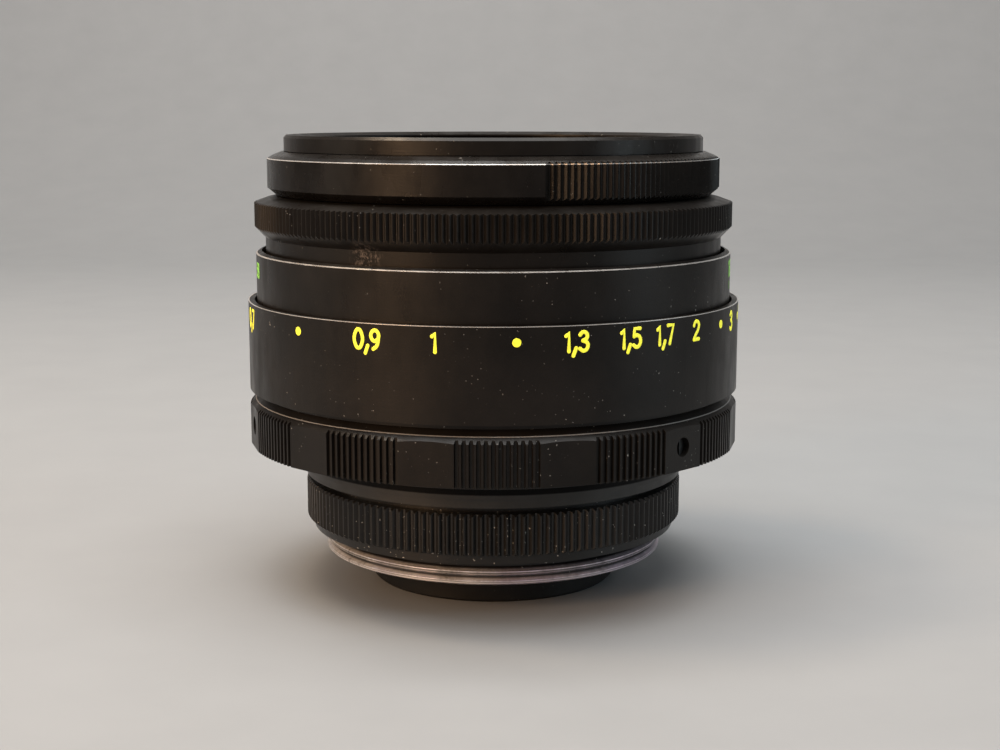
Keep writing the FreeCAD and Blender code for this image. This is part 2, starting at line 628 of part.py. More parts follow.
KEY_SHANK_RAD = 0.60
KEY_HEAD_RAD = 1.00
KEY_HEAD_LEN = 0.70
KEY_FIT = 0.01
KEY_SLOT_WIDTH = 0.35
KEY_SLOT_DEPTH = 0.30
keys = []
screws = []
for plan in KEY_PLANS:
    corner = FreeCAD.Vector(size("key_floor"), -size("key_width") / 2, size("key_low") + KEY_FIT)
    key = Part.makeBox(size("key_outer") - size("key_floor"), size("key_width"),
                       size("key_len") - 2 * KEY_FIT, corner)
    shank_in = size("sleeve_bore") + 0.3
    head_in = size("key_outer") - 0.9
    for level in (size("key_screw_low"), size("key_screw_top")):
        shank_at = FreeCAD.Vector(shank_in, 0, level)
        head_at = FreeCAD.Vector(head_in, 0, level)
        shank = Part.makeCylinder(KEY_SHANK_RAD, head_in - shank_in, shank_at, X_AXIS)
        head = Part.makeCylinder(KEY_HEAD_RAD, KEY_HEAD_LEN, head_at, X_AXIS)
        hole = Part.makeCylinder(KEY_SHANK_RAD + KEY_FIT, 10, shank_at, X_AXIS)
        recess = Part.makeCylinder(KEY_HEAD_RAD + 2 * KEY_FIT, 2, head_at, X_AXIS)
        key = key.cut(hole).cut(recess)
        slot_at = FreeCAD.Vector(head_in + KEY_HEAD_LEN - KEY_SLOT_DEPTH, -KEY_SLOT_WIDTH / 2, level - 2)
        screw = shank.fuse(head).removeSplitter()
        screw = screw.cut(Part.makeBox(KEY_SLOT_DEPTH * 2, KEY_SLOT_WIDTH, 4, slot_at))
        screw.rotate(ORIGIN, Z_AXIS, plan_to_polar(plan))
        screws.append(screw)
    key.rotate(ORIGIN, Z_AXIS, plan_to_polar(plan))
    keys.append(key)
shape_node("guide_keys", Part.makeCompound(keys))
shape_node("guide_key_screws", Part.makeCompound(screws))

# ring that keeps the focus ring down on the base
turned("focus_retainer", [("retainer_bore", "retainer_low"), ("retainer_rad", "retainer_low"),
                          ("retainer_rad", "retainer_top"), ("retainer_bore", "retainer_top")])

# focus stops: two fixed pins in the neck, one pin hanging from the focus sleeve
STOP_PIN = 0.45
PIN_LAP = 2.7
half_gap = (360.0 - size("focus_turn")) / 2
stop_lap = half_gap - PIN_LAP
stop_root = size("neck_rad") - 1.0
stop_tip = size("neck_rad") + 1.2
stop_solids = []
for side in (-stop_lap, stop_lap):
    pin = Part.makeCylinder(STOP_PIN, stop_tip - stop_root,
                            FreeCAD.Vector(stop_root, 0, size("stop_level")), X_AXIS)
    pin.rotate(ORIGIN, Z_AXIS, plan_to_polar(STOP_PLAN) + side)
    stop_solids.append(pin)
shape_node("focus_stop_pins", Part.makeCompound(stop_solids))
before = base_body.Shape.Volume
for tag, side in (("stop_left", -stop_lap), ("stop_right", stop_lap)):
    spot = base_body.newObject("Sketcher::SketchObject", tag)
    spot.AttachmentSupport = [(origin_feature(base_body, "YZ_Plane"), "")]
    spot.MapMode = "FlatFace"
    spin = STOP_PLAN + side - MOUNT_SCREW_PLANS[0]
    spot.AttachmentOffset = FreeCAD.Placement(ORIGIN, FreeCAD.Rotation(Y_AXIS, spin))
    circle_at(spot, None, "stop_level", "stop_hole")
    drill = base_body.newObject("PartDesign::Pocket", tag + "_drill")
    drill.Profile = spot
    drill.Type = "ThroughAll"
    drill.Reversed = True
    spot.Visibility = False
    base_body.Tip = drill
    doc.recompute()
check_cut(base_body, before)

# ---------------------------------------------------------------- focus ring group
focus_sleeve = turned("focus_sleeve", [
    ("web_bore", "web_low"), ("web_rad", "web_low"), ("web_rad", "foot_low"), ("foot_rad", "foot_low"),
    ("foot_rad", "foot_top"), ("focus_rad", "foot_top"), ("focus_rad", "focus_sleeve_top"),
    ("focus_bore", "focus_sleeve_top"), ("focus_bore", "web_top"), ("web_bore", "web_top")],
    plan_to_polar(GRIP_SCREW_PLANS[0]))
LIMIT_PLAN = STOP_PLAN + half_gap
limit_turn = LIMIT_PLAN - GRIP_SCREW_PLANS[0]
before = focus_sleeve.Shape.Volume
spot = focus_sleeve.newObject("Sketcher::SketchObject", "limit_spot")
spot.AttachmentSupport = [(origin_feature(focus_sleeve, "XY_Plane"), "")]
spot.MapMode = "FlatFace"
spot.AttachmentOffset = FreeCAD.Placement(ORIGIN, FreeCAD.Rotation(Z_AXIS, limit_turn))
bind(spot, ".AttachmentOffset.Base.z", "web_low")
spot.addGeometry(Part.Circle(FreeCAD.Vector(size("limit_at"), 0, 0), Z_AXIS, size("limit_hole")), False)
index = spot.addConstraint(Sketcher.Constraint("Radius", 0, size("limit_hole")))
bind(spot, "Constraints[%d]" % index, "limit_hole")
index = spot.addConstraint(Sketcher.Constraint("DistanceX", -1, 1, 0, 3, size("limit_at")))
bind(spot, "Constraints[%d]" % index, "limit_at")
spot.addConstraint(Sketcher.Constraint("PointOnObject", 0, 3, -1))
drill = focus_sleeve.newObject("PartDesign::Pocket", "limit_drill")
drill.Profile = spot
drill.Reversed = True
bind(drill, "Length", "limit_len")
focus_sleeve.Tip = drill
check_cut(focus_sleeve, before)
radial_holes(focus_sleeve, "grip_screw_in_sleeve", "grip_screw_hole", "grip_screw_level", 3)
PIN_HANG = 1.1
limit_pin = Part.makeCylinder(STOP_PIN, size("limit_len") + PIN_HANG,
                              FreeCAD.Vector(size("limit_at"), 0, size("web_low") - PIN_HANG))
limit_pin.rotate(ORIGIN, Z_AXIS, plan_to_polar(LIMIT_PLAN))
shape_node("focus_limit_pin", limit_pin)

grip_ring = turned("grip_ring", [
    ("grip_foot_bore", "grip_low"), ("grip_rad", "grip_low"), ("grip_rad", "grip_edge"),
    ("grip_cone_rad", "grip_top"), ("grip_spigot_rad", "grip_top"), ("grip_spigot_rad", "distance_low"),
    ("grip_bore", "distance_low"), ("grip_bore", "foot_top"), ("grip_foot_bore", "foot_top")],
    plan_to_polar(GRIP_SCREW_PLANS[0]))
SECTORS = 12
GROOVES_PER_SECTOR = 12
# flats milled between the knurled sectors
before = grip_ring.Shape.Volume
flat = sketch_on(grip_ring, "grip_flat", "XY_Plane")
outline(flat, [("flat_floor", "flat_neg"), ("flat_out", "flat_neg"), ("flat_out", "flat_pos"),
               ("flat_floor", "flat_pos")])
flat_cut = through_pocket(grip_ring, "grip_flat_cut", flat)
doc.recompute()
polar(grip_ring, "grip_flats", flat_cut, 360.0, SECTORS)
check_cut(grip_ring, before)
before = grip_ring.Shape.Volume
half_span = size("grip_pitch") * (GROOVES_PER_SECTOR - 1) / 2
groove = groove_sketch(grip_ring, "grip_groove", "grip_knurl_out", "grip_knurl_root",
                       ("grip_knurl_mouth_neg", "grip_knurl_mouth_pos"),
                       ("grip_knurl_root_neg", "grip_knurl_root_pos"), 15.0 - half_span)
groove_cut = through_pocket(grip_ring, "grip_groove_cut", groove)
doc.recompute()
multi = grip_ring.newObject("PartDesign::MultiTransform", "grip_knurl_pattern")
multi.Originals = [groove_cut]
steps = []
for tag, angle, count in (("near", 2 * half_span, GROOVES_PER_SECTOR), ("round", 360.0, SECTORS)):
    step = grip_ring.newObject("PartDesign::PolarPattern", "grip_knurl_" + tag)
    step.Axis = (origin_feature(grip_ring, "Z_Axis"), [""])
    step.Angle = angle
    step.Occurrences = count
    steps.append(step)
multi.Transformations = steps
grip_ring.Tip = multi
check_cut(grip_ring, before)
radial_holes(grip_ring, "grip_screw_in_grip", "grip_screw_hole", "grip_screw_level", 3)
radial_screws("grip_ring_screws", size("focus_bore") + 0.5, size("grip_rad") - 0.9,
              size("screw_rad"), size("grip_screw_level"), GRIP_SCREW_PLANS)

distance_ring = turned("distance_ring", [
    ("grip_bore", "distance_low"), ("distance_rad", "distance_low"), ("distance_rad", "distance_top"),
    ("distance_bore", "distance_top"), ("distance_bore", "distance_web_top"),
    ("grip_bore", "distance_web_top")], plan_to_polar(GRIP_SCREW_PLANS[0]))
axial_holes(distance_ring, "distance_screw", "distance_screw_at", "distance_screw_hole",
            "distance_screw_low", "distance_screw_len", 3)
axial_holes(distance_ring, "distance_head", "distance_screw_at", "distance_head_hole",
            "distance_head_low", "distance_head_len", 3)
axial_holes(grip_ring, "spigot_screw", "distance_screw_at", "distance_screw_hole",
            "distance_screw_low", "distance_screw_len", 3)
axial_screws("distance_ring_screws", size("distance_screw_at"), size("distance_screw_low") + 0.05,
             size("distance_web_top"), 0.30, 0.36, 0.35, GRIP_SCREW_PLANS)

# ---------------------------------------------------------------- sliding barrel
barrel_helicoid = turned("barrel_helicoid", [
    ("helicoid_bore", "helicoid_low"), ("helicoid_rad", "helicoid_low"), ("helicoid_rad", "lock_top"),
    ("flange_edge", "lock_top"), ("flange_edge", "shelf"), ("tube_seat", "shelf"),
    ("tube_seat", "lock_top"), ("helicoid_bore", "lock_top")], plan_to_polar(KEY_PLANS[0]))
before = barrel_helicoid.Shape.Volume
slot = sketch_on(barrel_helicoid, "key_slot", "XY_Plane")
bind(slot, ".AttachmentOffset.Base.z", "helicoid_low")
outline(slot, [("slot_in", "slot_half_neg"), ("slot_out", "slot_half_neg"),
               ("slot_out", "slot_half"), ("slot_in", "slot_half")])
slot_cut = barrel_helicoid.newObject("PartDesign::Pocket", "key_slot_cut")
slot_cut.Profile = slot
slot_cut.Reversed = True
bind(slot_cut, "Length", "slot_len")
doc.recompute()
polar(barrel_helicoid, "key_slots", slot_cut, 360.0, 2)
check_cut(barrel_helicoid, before)
axial_holes(barrel_helicoid, "sleeve_screw_in_flange", "sleeve_screw_at", "sleeve_screw_hole",
            "sleeve_screw_low", "sleeve_screw_len", 3)

sleeve_turn = plan_to_polar(KEY_PLANS[0])
depth_scale = turned("depth_scale_sleeve", [
    ("scale_bore", "scale_low"), ("scale_rad", "scale_low"), ("scale_rad", "scale_shoulder"),
    ("scale_rim_rad", "scale_top"), ("scale_bore", "scale_top"), ("scale_bore", "scale_lip_top"),
    ("scale_lip_bore", "scale_lip_top"), ("scale_lip_bore", "shelf"), ("scale_bore", "shelf")],
    sleeve_turn)
axial_holes(depth_scale, "sleeve_screw", "sleeve_screw_at", "sleeve_screw_hole",
            "sleeve_screw_low", "sleeve_screw_len", 3)
axial_holes(depth_scale, "sleeve_head", "sleeve_screw_at", "sleeve_head_hole",
            "sleeve_head_low", "sleeve_head_len", 3)
axial_screws("depth_scale_screws", size("sleeve_screw_at"), size("sleeve_screw_low") + 0.05,
             size("scale_lip_top"), 0.40, 0.70, 0.40, [KEY_PLANS[0] + k * 120.0 for k in range(3)])

front_barrel = turned("front_barrel", [
    ("barrel_rear_bore", "barrel_low"), ("tube_rad", "barrel_low"), ("tube_rad", "shelf"),
    ("collar_rad", "shelf"), ("collar_rad", "collar_top"), ("journal_rad", "collar_top"),
    ("journal_rad", "journal_top"), ("front_thread_rad", "journal_top"),
    ("front_thread_rad", "barrel_top"), ("front_counterbore", "barrel_top"),
    ("front_counterbore", "front_flange_low"), ("front_bore", "front_flange_low"),
    ("front_bore", "iris_floor"), ("barrel_lip_bore", "iris_floor"),
    ("barrel_lip_bore", "rear_seat"), ("barrel_rear_bore", "rear_seat")],
    plan_to_polar(DRIVE_PLAN))

# arc slot for the iris drive screw, ending in the ring's two stops
before = front_barrel.Shape.Volume
arc = sketch_on(front_barrel, "drive_slot", "XZ_Plane")
arc.AttachmentOffset = FreeCAD.Placement(ORIGIN, FreeCAD.Rotation(Y_AXIS, size("slot_margin")))
outline(arc, [("drive_slot_in", "drive_slot_low"), ("drive_slot_out", "drive_slot_low"),
              ("drive_slot_out", "drive_slot_top"), ("drive_slot_in", "drive_slot_top")])
arc_cut = front_barrel.newObject("PartDesign::Groove", "drive_slot_cut")
arc_cut.Profile = arc
arc_cut.ReferenceAxis = (arc, ["V_Axis"])
arc_cut.Reversed = True
bind(arc_cut, "Angle", "drive_slot_turn")
arc.Visibility = False
front_barrel.Tip = arc_cut
check_cut(front_barrel, before)

# click ball and spring under the aperture ring
BALL_TURN = -60.0
BALL_RAD = 0.65
BALL_SEAT = 0.66
PLUG_RAD = 0.74
PLUG_LEN = 0.5
COIL_RAD = 0.45
COIL_TURNS = 5
WIRE = 0.10
before = front_barrel.Shape.Volume
spot = front_barrel.newObject("Sketcher::SketchObject", "ball_spot")
spot.AttachmentSupport = [(origin_feature(front_barrel, "YZ_Plane"), "")]
spot.MapMode = "FlatFace"
spot.AttachmentOffset = FreeCAD.Placement(ORIGIN, FreeCAD.Rotation(Y_AXIS, BALL_TURN))
circle_at(spot, None, "ball_level", "ball_hole")
drill = front_barrel.newObject("PartDesign::Pocket", "ball_drill")
drill.Profile = spot
drill.Type = "ThroughAll"
drill.Reversed = True
spot.Visibility = False
front_barrel.Tip = drill
check_cut(front_barrel, before)

ball_polar = plan_to_polar(DRIVE_PLAN) + BALL_TURN
ball_in = size("front_counterbore") + 0.6
plug = Part.makeCylinder(PLUG_RAD, PLUG_LEN, FreeCAD.Vector(ball_in, 0, size("ball_level")), X_AXIS)
plug.rotate(ORIGIN, Z_AXIS, ball_polar)
shape_node("click_plug", plug)
ball_at = size("journal_rad") - BALL_SEAT
ball = Part.makeSphere(BALL_RAD, FreeCAD.Vector(ball_at, 0, size("ball_level")))
ball.rotate(ORIGIN, Z_AXIS, ball_polar)
shape_node("click_ball", ball)
coil_start = ball_in + PLUG_LEN + WIRE
coil_len = ball_at - BALL_RAD - coil_start
helix = Part.makeHelix(coil_len / COIL_TURNS, coil_len, COIL_RAD)
coil = Part.Wire(Part.makeCircle(WIRE, FreeCAD.Vector(COIL_RAD, 0, 0), FreeCAD.Vector(0, 1, 0.14)))
spring = Part.Wire(helix).makePipeShell([coil], True, True)
spring.rotate(ORIGIN, Y_AXIS, 90)
spring.translate(FreeCAD.Vector(coil_start, 0, size("ball_level")))
spring.rotate(ORIGIN, Z_AXIS, ball_polar)
shape_node("click_spring", spring)

turned("barrel_lock_ring", [("tube_seat", "lock_low"), ("lock_rad", "lock_low"),
                            ("lock_rad", "lock_top"), ("tube_seat", "lock_top")])

# filter ring with its female thread
filter_profile = [("filter_bore", "filter_skirt_low"), ("filter_skirt_rad", "filter_skirt_low"),
                  ("filter_skirt_rad", "filter_flange"), ("filter_rad", "filter_flange"),
                  ("filter_rad", "filter_edge"), ("filter_rim_rad", "filter_top"),
                  ("filter_mouth_rad", "filter_top")]
for turn_tag in FILTER_TURNS:
    for tag, share, wall in FILTER_STEPS:
        filter_profile.append((wall, "filter_%s_turn%s" % (tag, turn_tag)))
filter_profile.append(("filter_crest", "filter_lip_top"))
filter_profile.append(("filter_lip_bore", "filter_lip_top"))
filter_profile.append(("filter_lip_bore", "barrel_top"))
filter_profile.append(("filter_bore", "barrel_top"))
filter_ring = turned("filter_ring", filter_profile)

turned("name_ring", [("name_in", "front_flange_top"), ("name_rad", "front_flange_top"),
                     ("name_rad", "name_low"), ("name_rim_rad", "name_low"),
                     ("name_rim_rad", "filter_lip_top"), ("name_face_rad", "filter_lip_top"),
                     ("name_in", "name_in_top")])

# ---------------------------------------------------------------- preset ring
preset_ring = turned("preset_ring", [
    ("preset_bore", "preset_low"), ("preset_low_rad", "preset_low"), ("preset_rad", "preset_edge"),
    ("preset_rad", "preset_facet"), ("preset_facet_rad", "preset_facet_top"),
    ("preset_top_rad", "preset_top"), ("preset_bore", "preset_top")], plan_to_polar(0.0))
preset_count = int(size("preset_sector") / size("preset_pitch")) + 1
for span, start in zip(("near", "far"), PRESET_KNURL_PLANS):
    before = preset_ring.Shape.Volume
    sketch = groove_sketch(preset_ring, "preset_groove_" + span, "preset_knurl_out", "preset_knurl_root",
                           ("preset_knurl_mouth_neg", "preset_knurl_mouth_pos"),
                           ("preset_knurl_root_neg", "preset_knurl_root_pos"), start + 0.8)
    pocket = through_pocket(preset_ring, "preset_pocket_" + span, sketch)
    doc.recompute()
    polar(preset_ring, "preset_pattern_" + span, pocket,
          size("preset_pitch") * (preset_count - 1), preset_count)
    check_cut(preset_ring, before)
before = preset_ring.Shape.Volume
spot = preset_ring.newObject("Sketcher::SketchObject", "preset_spot")
spot.AttachmentSupport = [(origin_feature(preset_ring, "YZ_Plane"), "")]
spot.MapMode = "FlatFace"
spot.AttachmentOffset = FreeCAD.Placement(ORIGIN, FreeCAD.Rotation(Y_AXIS, PRESET_SCREW_PLANS[0]))
circle_at(spot, None, "preset_screw_level", "preset_screw_hole")
drill = preset_ring.newObject("PartDesign::Pocket", "preset_drill")
drill.Profile = spot
drill.Type = "ThroughAll"
drill.Reversed = True
spot.Visibility = False
doc.recompute()
polar(preset_ring, "preset_drills", drill, PRESET_SCREW_PLANS[2] - PRESET_SCREW_PLANS[0], 3)
check_cut(preset_ring, before)
radial_screws("preset_ring_screws", size("preset_bore") + 0.1, size("preset_rad") - 0.3,
              size("small_screw"), size("preset_screw_level"), PRESET_SCREW_PLANS)

# ---------------------------------------------------------------- aperture ring
aperture_ring = turned("aperture_ring", [
    ("skirt_bore", "skirt_low"), ("skirt_rad", "skirt_low"), ("skirt_rad", "skirt_top"),
    ("aperture_rad", "aperture_knurl_low"), ("aperture_rad", "aperture_knurl_top"),
    ("aperture_facet_rad", "aperture_facet_top"), ("aperture_top_rad", "aperture_top"),
    ("aperture_bore", "aperture_top"), ("aperture_bore", "aperture_seat"),
    ("skirt_bore", "aperture_seat")], plan_to_polar(DRIVE_PLAN))
knurl(aperture_ring, "aperture_knurl", 0.0, int(size("aperture_knurl_count")))
radial_holes(aperture_ring, "drive_screw", "drive_screw_hole", "drive_level", 1)

arm_in = size("housing_wall_bore") - 0.15
arm_out = size("front_bore") - 0.3
radial_screws("iris_drive_screw", arm_in + 0.2, size("skirt_rad") - 0.3, size("drive_screw_rad"),
              size("drive_level"), (DRIVE_PLAN,))

ARM_HALF = 5.0


def ring_sector(inner, outer, low, top, start_deg, end_deg):
    """Block between two radii, two levels and two turns about the axis."""
    sector = Part.makeCylinder(outer, top - low, FreeCAD.Vector(0, 0, low), Z_AXIS, end_deg - start_deg)
    sector = sector.cut(Part.makeCylinder(inner, top - low, FreeCAD.Vector(0, 0, low)))
    sector.rotate(ORIGIN, Z_AXIS, start_deg)
    return sector


drive_polar = plan_to_polar(DRIVE_PLAN)
arm = ring_sector(arm_in, arm_out, size("cam_top"), size("arm_top"),
                  drive_polar - ARM_HALF, drive_polar + ARM_HALF)
foot = ring_sector(size("cam_rad") - 1.5, arm_out, size("cam_top"), size("arm_low"),
                   drive_polar - ARM_HALF, drive_polar + ARM_HALF)
arm = arm.fuse(foot).removeSplitter()
tip_hole = Part.makeCylinder(size("drive_screw_hole"), 12,
                             FreeCAD.Vector(arm_in - 2, 0, size("drive_level")), X_AXIS)
tip_hole.rotate(ORIGIN, Z_AXIS, drive_polar)
shape_node("iris_drive_arm", arm.cut(tip_hole))

# ---------------------------------------------------------------- iris
BLADES = 8
STEP = 360.0 / BLADES
DRIVE_PIN = 0.35
EAR_RAD = 1.1
LINK_HALF = 0.7
STRIP_START = -4.0
STRIP_END = 112.0
SLOT_PLAY = 0.10
pivot_rad = size("pivot_rad")
drive_arm = size("drive_arm")
blade_turn = size("blade_turn")
ring_turn = size("ring_turn")
drive_start = 90.0 - blade_turn / 2


def around(radius, degrees, level=0.0):
    angle = math.radians(degrees)
    return FreeCAD.Vector(radius * math.cos(angle), radius * math.sin(angle), level)


def drive_spot(share):
    """Drive pin centre for the first blade, share 0 open to 1 closed, seen from the lens."""
    return around(pivot_rad, 0.0) + around(drive_arm, drive_start + blade_turn * share)


housing = turned("iris_housing", [
    ("iris_open", "iris_floor"), ("housing_rad", "iris_floor"), ("housing_rad", "housing_top"),
    ("housing_wall_bore", "housing_top"), ("housing_wall_bore", "housing_floor_top"),
    ("iris_open", "housing_floor_top")])
axial_holes(housing, "blade_pivot", "pivot_rad", "pivot_hole", "pivot_hole_low", "pivot_hole_len", BLADES)

cam = Part.makeCylinder(size("cam_rad"), size("cam_top") - size("cam_low"),
                        FreeCAD.Vector(0, 0, size("cam_low")))
cam = cam.cut(Part.makeCylinder(size("iris_open"), 5, FreeCAD.Vector(0, 0, size("cam_low") - 1)))
PATH_STEPS = 24
path = []
for i in range(PATH_STEPS + 1):
    share = -0.01 + 1.02 * i / PATH_STEPS
    spot = drive_spot(share)
    path.append(FreeCAD.Rotation(Z_AXIS, ring_turn * share).multVec(spot))
half = DRIVE_PIN + SLOT_PLAY
left = []
right = []
for i, spot in enumerate(path):
    ahead = path[min(i + 1, PATH_STEPS)] - path[max(i - 1, 0)]
    side = FreeCAD.Vector(-ahead.y, ahead.x, 0).normalize() * half
    left.append(spot + side)
    right.append(spot - side)
slot_edges = []
for row in (left, list(reversed(right))):
    curve = Part.BSplineCurve()
    curve.interpolate(row)
    slot_edges.append(curve.toShape())
slot_edges.append(Part.LineSegment(left[-1], right[-1]).toShape())
slot_edges.append(Part.LineSegment(right[0], left[0]).toShape())
slot_face = Part.Face(Part.Wire(Part.__sortEdges__(slot_edges)))
slot_tool = slot_face.extrude(FreeCAD.Vector(0, 0, 3))
slot_tool.translate(FreeCAD.Vector(0, 0, size("cam_low") - 1))
for end in (path[0], path[-1]):
    slot_tool = slot_tool.fuse(Part.makeCylinder(half, 3, end + FreeCAD.Vector(0, 0, size("cam_low") - 1)))
for k in range(BLADES):
    tool = slot_tool.copy()
    tool.rotate(ORIGIN, Z_AXIS, k * STEP)
    cam = cam.cut(tool)
shape_node("iris_cam_ring", cam)

strip_inner = size("iris_open") + 0.10
strip_outer = size("strip_outer")
thick = size("blade_thick")
for k in range(BLADES):
    low = size("housing_floor_top") + 0.1 + k * size("blade_pitch")
    strip = ring_sector(strip_inner, strip_outer, low, low + thick, STRIP_START, STRIP_END)
    tail = Part.makeCylinder((strip_outer - strip_inner) / 2, thick,
                             around((strip_outer + strip_inner) / 2, STRIP_END, low))
    ear = Part.makeCylinder(EAR_RAD, thick, around(pivot_rad, 0.0, low))
    neck = Part.makeBox(pivot_rad - strip_outer + 0.6, 2 * EAR_RAD, thick,
                        FreeCAD.Vector(strip_outer - 0.6, -EAR_RAD, low))
    drive_at = drive_spot(0.0)
    drive_ear = Part.makeCylinder(LINK_HALF + 0.05, thick, drive_at + FreeCAD.Vector(0, 0, low))
    link = Part.makeBox(drive_arm, 2 * LINK_HALF, thick, FreeCAD.Vector(0, -LINK_HALF, 0))
    link.rotate(ORIGIN, Z_AXIS, drive_start)
    link.translate(around(pivot_rad, 0.0, low))
    pivot = Part.makeCylinder(size("pivot_pin_rad"), low - size("iris_floor") - 0.25,
                              around(pivot_rad, 0.0, size("iris_floor") + 0.25))
    driver = Part.makeCylinder(DRIVE_PIN, size("cam_top") - 0.2 - low,
                               drive_at + FreeCAD.Vector(0, 0, low))
    blade = strip.fuse([tail, ear, neck, drive_ear, link, pivot, driver]).removeSplitter()
    blade.rotate(ORIGIN, Z_AXIS, k * STEP)
    shape_node("iris_blade_%d" % (k + 1), blade)

# ---------------------------------------------------------------- front cell and glass
turned("front_cell", [
    ("iris_open", "front_cell_low"), ("doublet_cell_rad", "front_cell_low"),
    ("doublet_cell_rad", "cell_step"), ("front_cell_rad", "cell_step"),
    ("front_cell_rad", "front_flange_low"), ("front_flange_rad", "front_flange_low"),
    ("front_flange_rad", "front_flange_top"), ("front_glass_bore", "front_flange_top"),
    ("front_glass_bore", "front_seat"), ("doublet_bore", "front_seat"), ("doublet_bore", "doublet_seat"),
    ("iris_open", "doublet_seat")])


def sag(radius, at):
    """Height a sphere falls away from its vertex at a distance from the axis."""
    return radius - math.sqrt(radius * radius - at * at)


def disc(radius, low, top):
    return Part.makeCylinder(radius, top - low, FreeCAD.Vector(0, 0, low))


def ball_under(vertex, radius):
    """Sphere whose highest point is at the vertex level."""
    return Part.makeSphere(radius, FreeCAD.Vector(0, 0, vertex - radius))


def ball_over(vertex, radius):
    """Sphere whose lowest point is at the vertex level."""
    return Part.makeSphere(radius, FreeCAD.Vector(0, 0, vertex + radius))


def glass_ring(name, inner, outer, low, top):
    return shape_node(name, disc(outer, low, top).cut(disc(inner, low - 1, top + 1)))


front_seat = size("front_seat")
doublet_seat = size("doublet_seat")
cement_low = size("cement_low")
cement_high = size("cement_high")
FRONT_RADIUS = 38.0
FRONT_BACK_RADIUS = 110.0
MENISCUS_RADIUS = 23.0
MENISCUS_BACK_RADIUS = 16.0
REAR_INNER_RADIUS = 15.0
REAR_OUTER_RADIUS = 22.0
LAST_TOP_RADIUS = 60.0
LAST_LOW_RADIUS = 38.0

front_vertex = front_seat + 5.6
lens_front = disc(size("front_glass_rad"), front_seat, front_vertex)
lens_front = lens_front.common(ball_under(front_vertex, FRONT_RADIUS))
lens_front = lens_front.cut(ball_under(front_seat + 0.9, FRONT_BACK_RADIUS))
shape_node("lens_front", lens_front)
touch = size("front_glass_rad") - 0.6
ring_low = front_vertex - sag(FRONT_RADIUS, touch) + 0.01
glass_ring("front_lens_retainer", touch, size("front_glass_rad") + 0.02, ring_low, ring_low + 1.4)

meniscus_vertex = cement_high + 7.1
lens_second = disc(size("doublet_rad"), cement_high, meniscus_vertex)
lens_second = lens_second.common(ball_under(meniscus_vertex, MENISCUS_RADIUS))
shape_node("lens_second", lens_second)
lens_third = disc(size("doublet_rad"), doublet_seat, cement_low)
lens_third = lens_third.cut(ball_under(cement_low - 1.53, MENISCUS_BACK_RADIUS))
shape_node("lens_third", lens_third)
touch = size("doublet_rad") - 0.7
ring_low = meniscus_vertex - sag(MENISCUS_RADIUS, touch) + 0.01
glass_ring("doublet_retainer", touch, size("doublet_rad") + 0.02, ring_low, ring_low + 1.6)

# ---------------------------------------------------------------- rear cell and glass
turned("rear_cell", [
    ("last_bore", "rear_rim_low"), ("rear_rim_rad", "rear_rim_low"), ("rear_tube_rad", "rear_chamfer"),
    ("rear_tube_rad", "rear_cone_low"), ("rear_cell_rad", "rear_cone_top"), ("rear_cell_rad", "rear_seat"),
    ("rear_cell_bore", "rear_seat"), ("rear_cell_bore", "rear_shelf"), ("rear_seat_rad", "rear_shelf"),
    ("last_seat_rad", "last_shelf"), ("last_bore", "last_shelf")])

rear_glass = size("rear_glass_rad")
last_glass = size("last_glass_rad")
inner_rim = size("inner_rim")
inner_cement = size("inner_cement")
lens_fourth = disc(rear_glass, inner_cement + size("cement_gap"), inner_rim)
lens_fourth = lens_fourth.cut(ball_over(inner_rim - 3.1, REAR_INNER_RADIUS))
shape_node("lens_fourth", lens_fourth)
lens_fifth = disc(rear_glass, size("inner_vertex"), inner_cement)
lens_fifth = lens_fifth.common(ball_over(size("inner_vertex"), size("inner_radius")))
shape_node("lens_fifth", lens_fifth)
glass_ring("rear_doublet_retainer", rear_glass - 2.4, rear_glass + 0.04, inner_rim, inner_rim + 0.95)

lens_last = disc(last_glass, size("last_low_vertex"), size("last_top_vertex"))
lens_last = lens_last.common(ball_under(size("last_top_vertex"), size("last_top_radius")))
lens_last = lens_last.common(ball_over(size("last_low_vertex"), size("last_low_radius")))
shape_node("lens_rear", lens_last)
rear_touch = last_glass - 0.9
ring_top = size("last_low_vertex") + sag(size("last_low_radius"), rear_touch) - 0.01
glass_ring("rear_lens_retainer", rear_touch, last_glass + 0.04, ring_top - 1.3, ring_top)

# ---------------------------------------------------------------- check and write
doc.recompute()
for item in doc.Objects:
    if "Invalid" in item.State or "Error" in item.State:
        raise RuntimeError("%s is not up to date: %s" % (item.Label, item.State))
os.makedirs("parts", exist_ok=True)
for node in nodes:
    if node.Shape.isNull() or not node.Shape.isValid():
        raise RuntimeError("bad shape: " + node.Label)
    if not node.Shape.Solids:
        raise RuntimeError("no solid: " + node.Label)
    node.Shape.exportStep("parts/%s.step" % node.Label)
print("nodes", len(nodes))
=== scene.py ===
import math
import bpy
import bmesh
from mathutils import Matrix, Vector


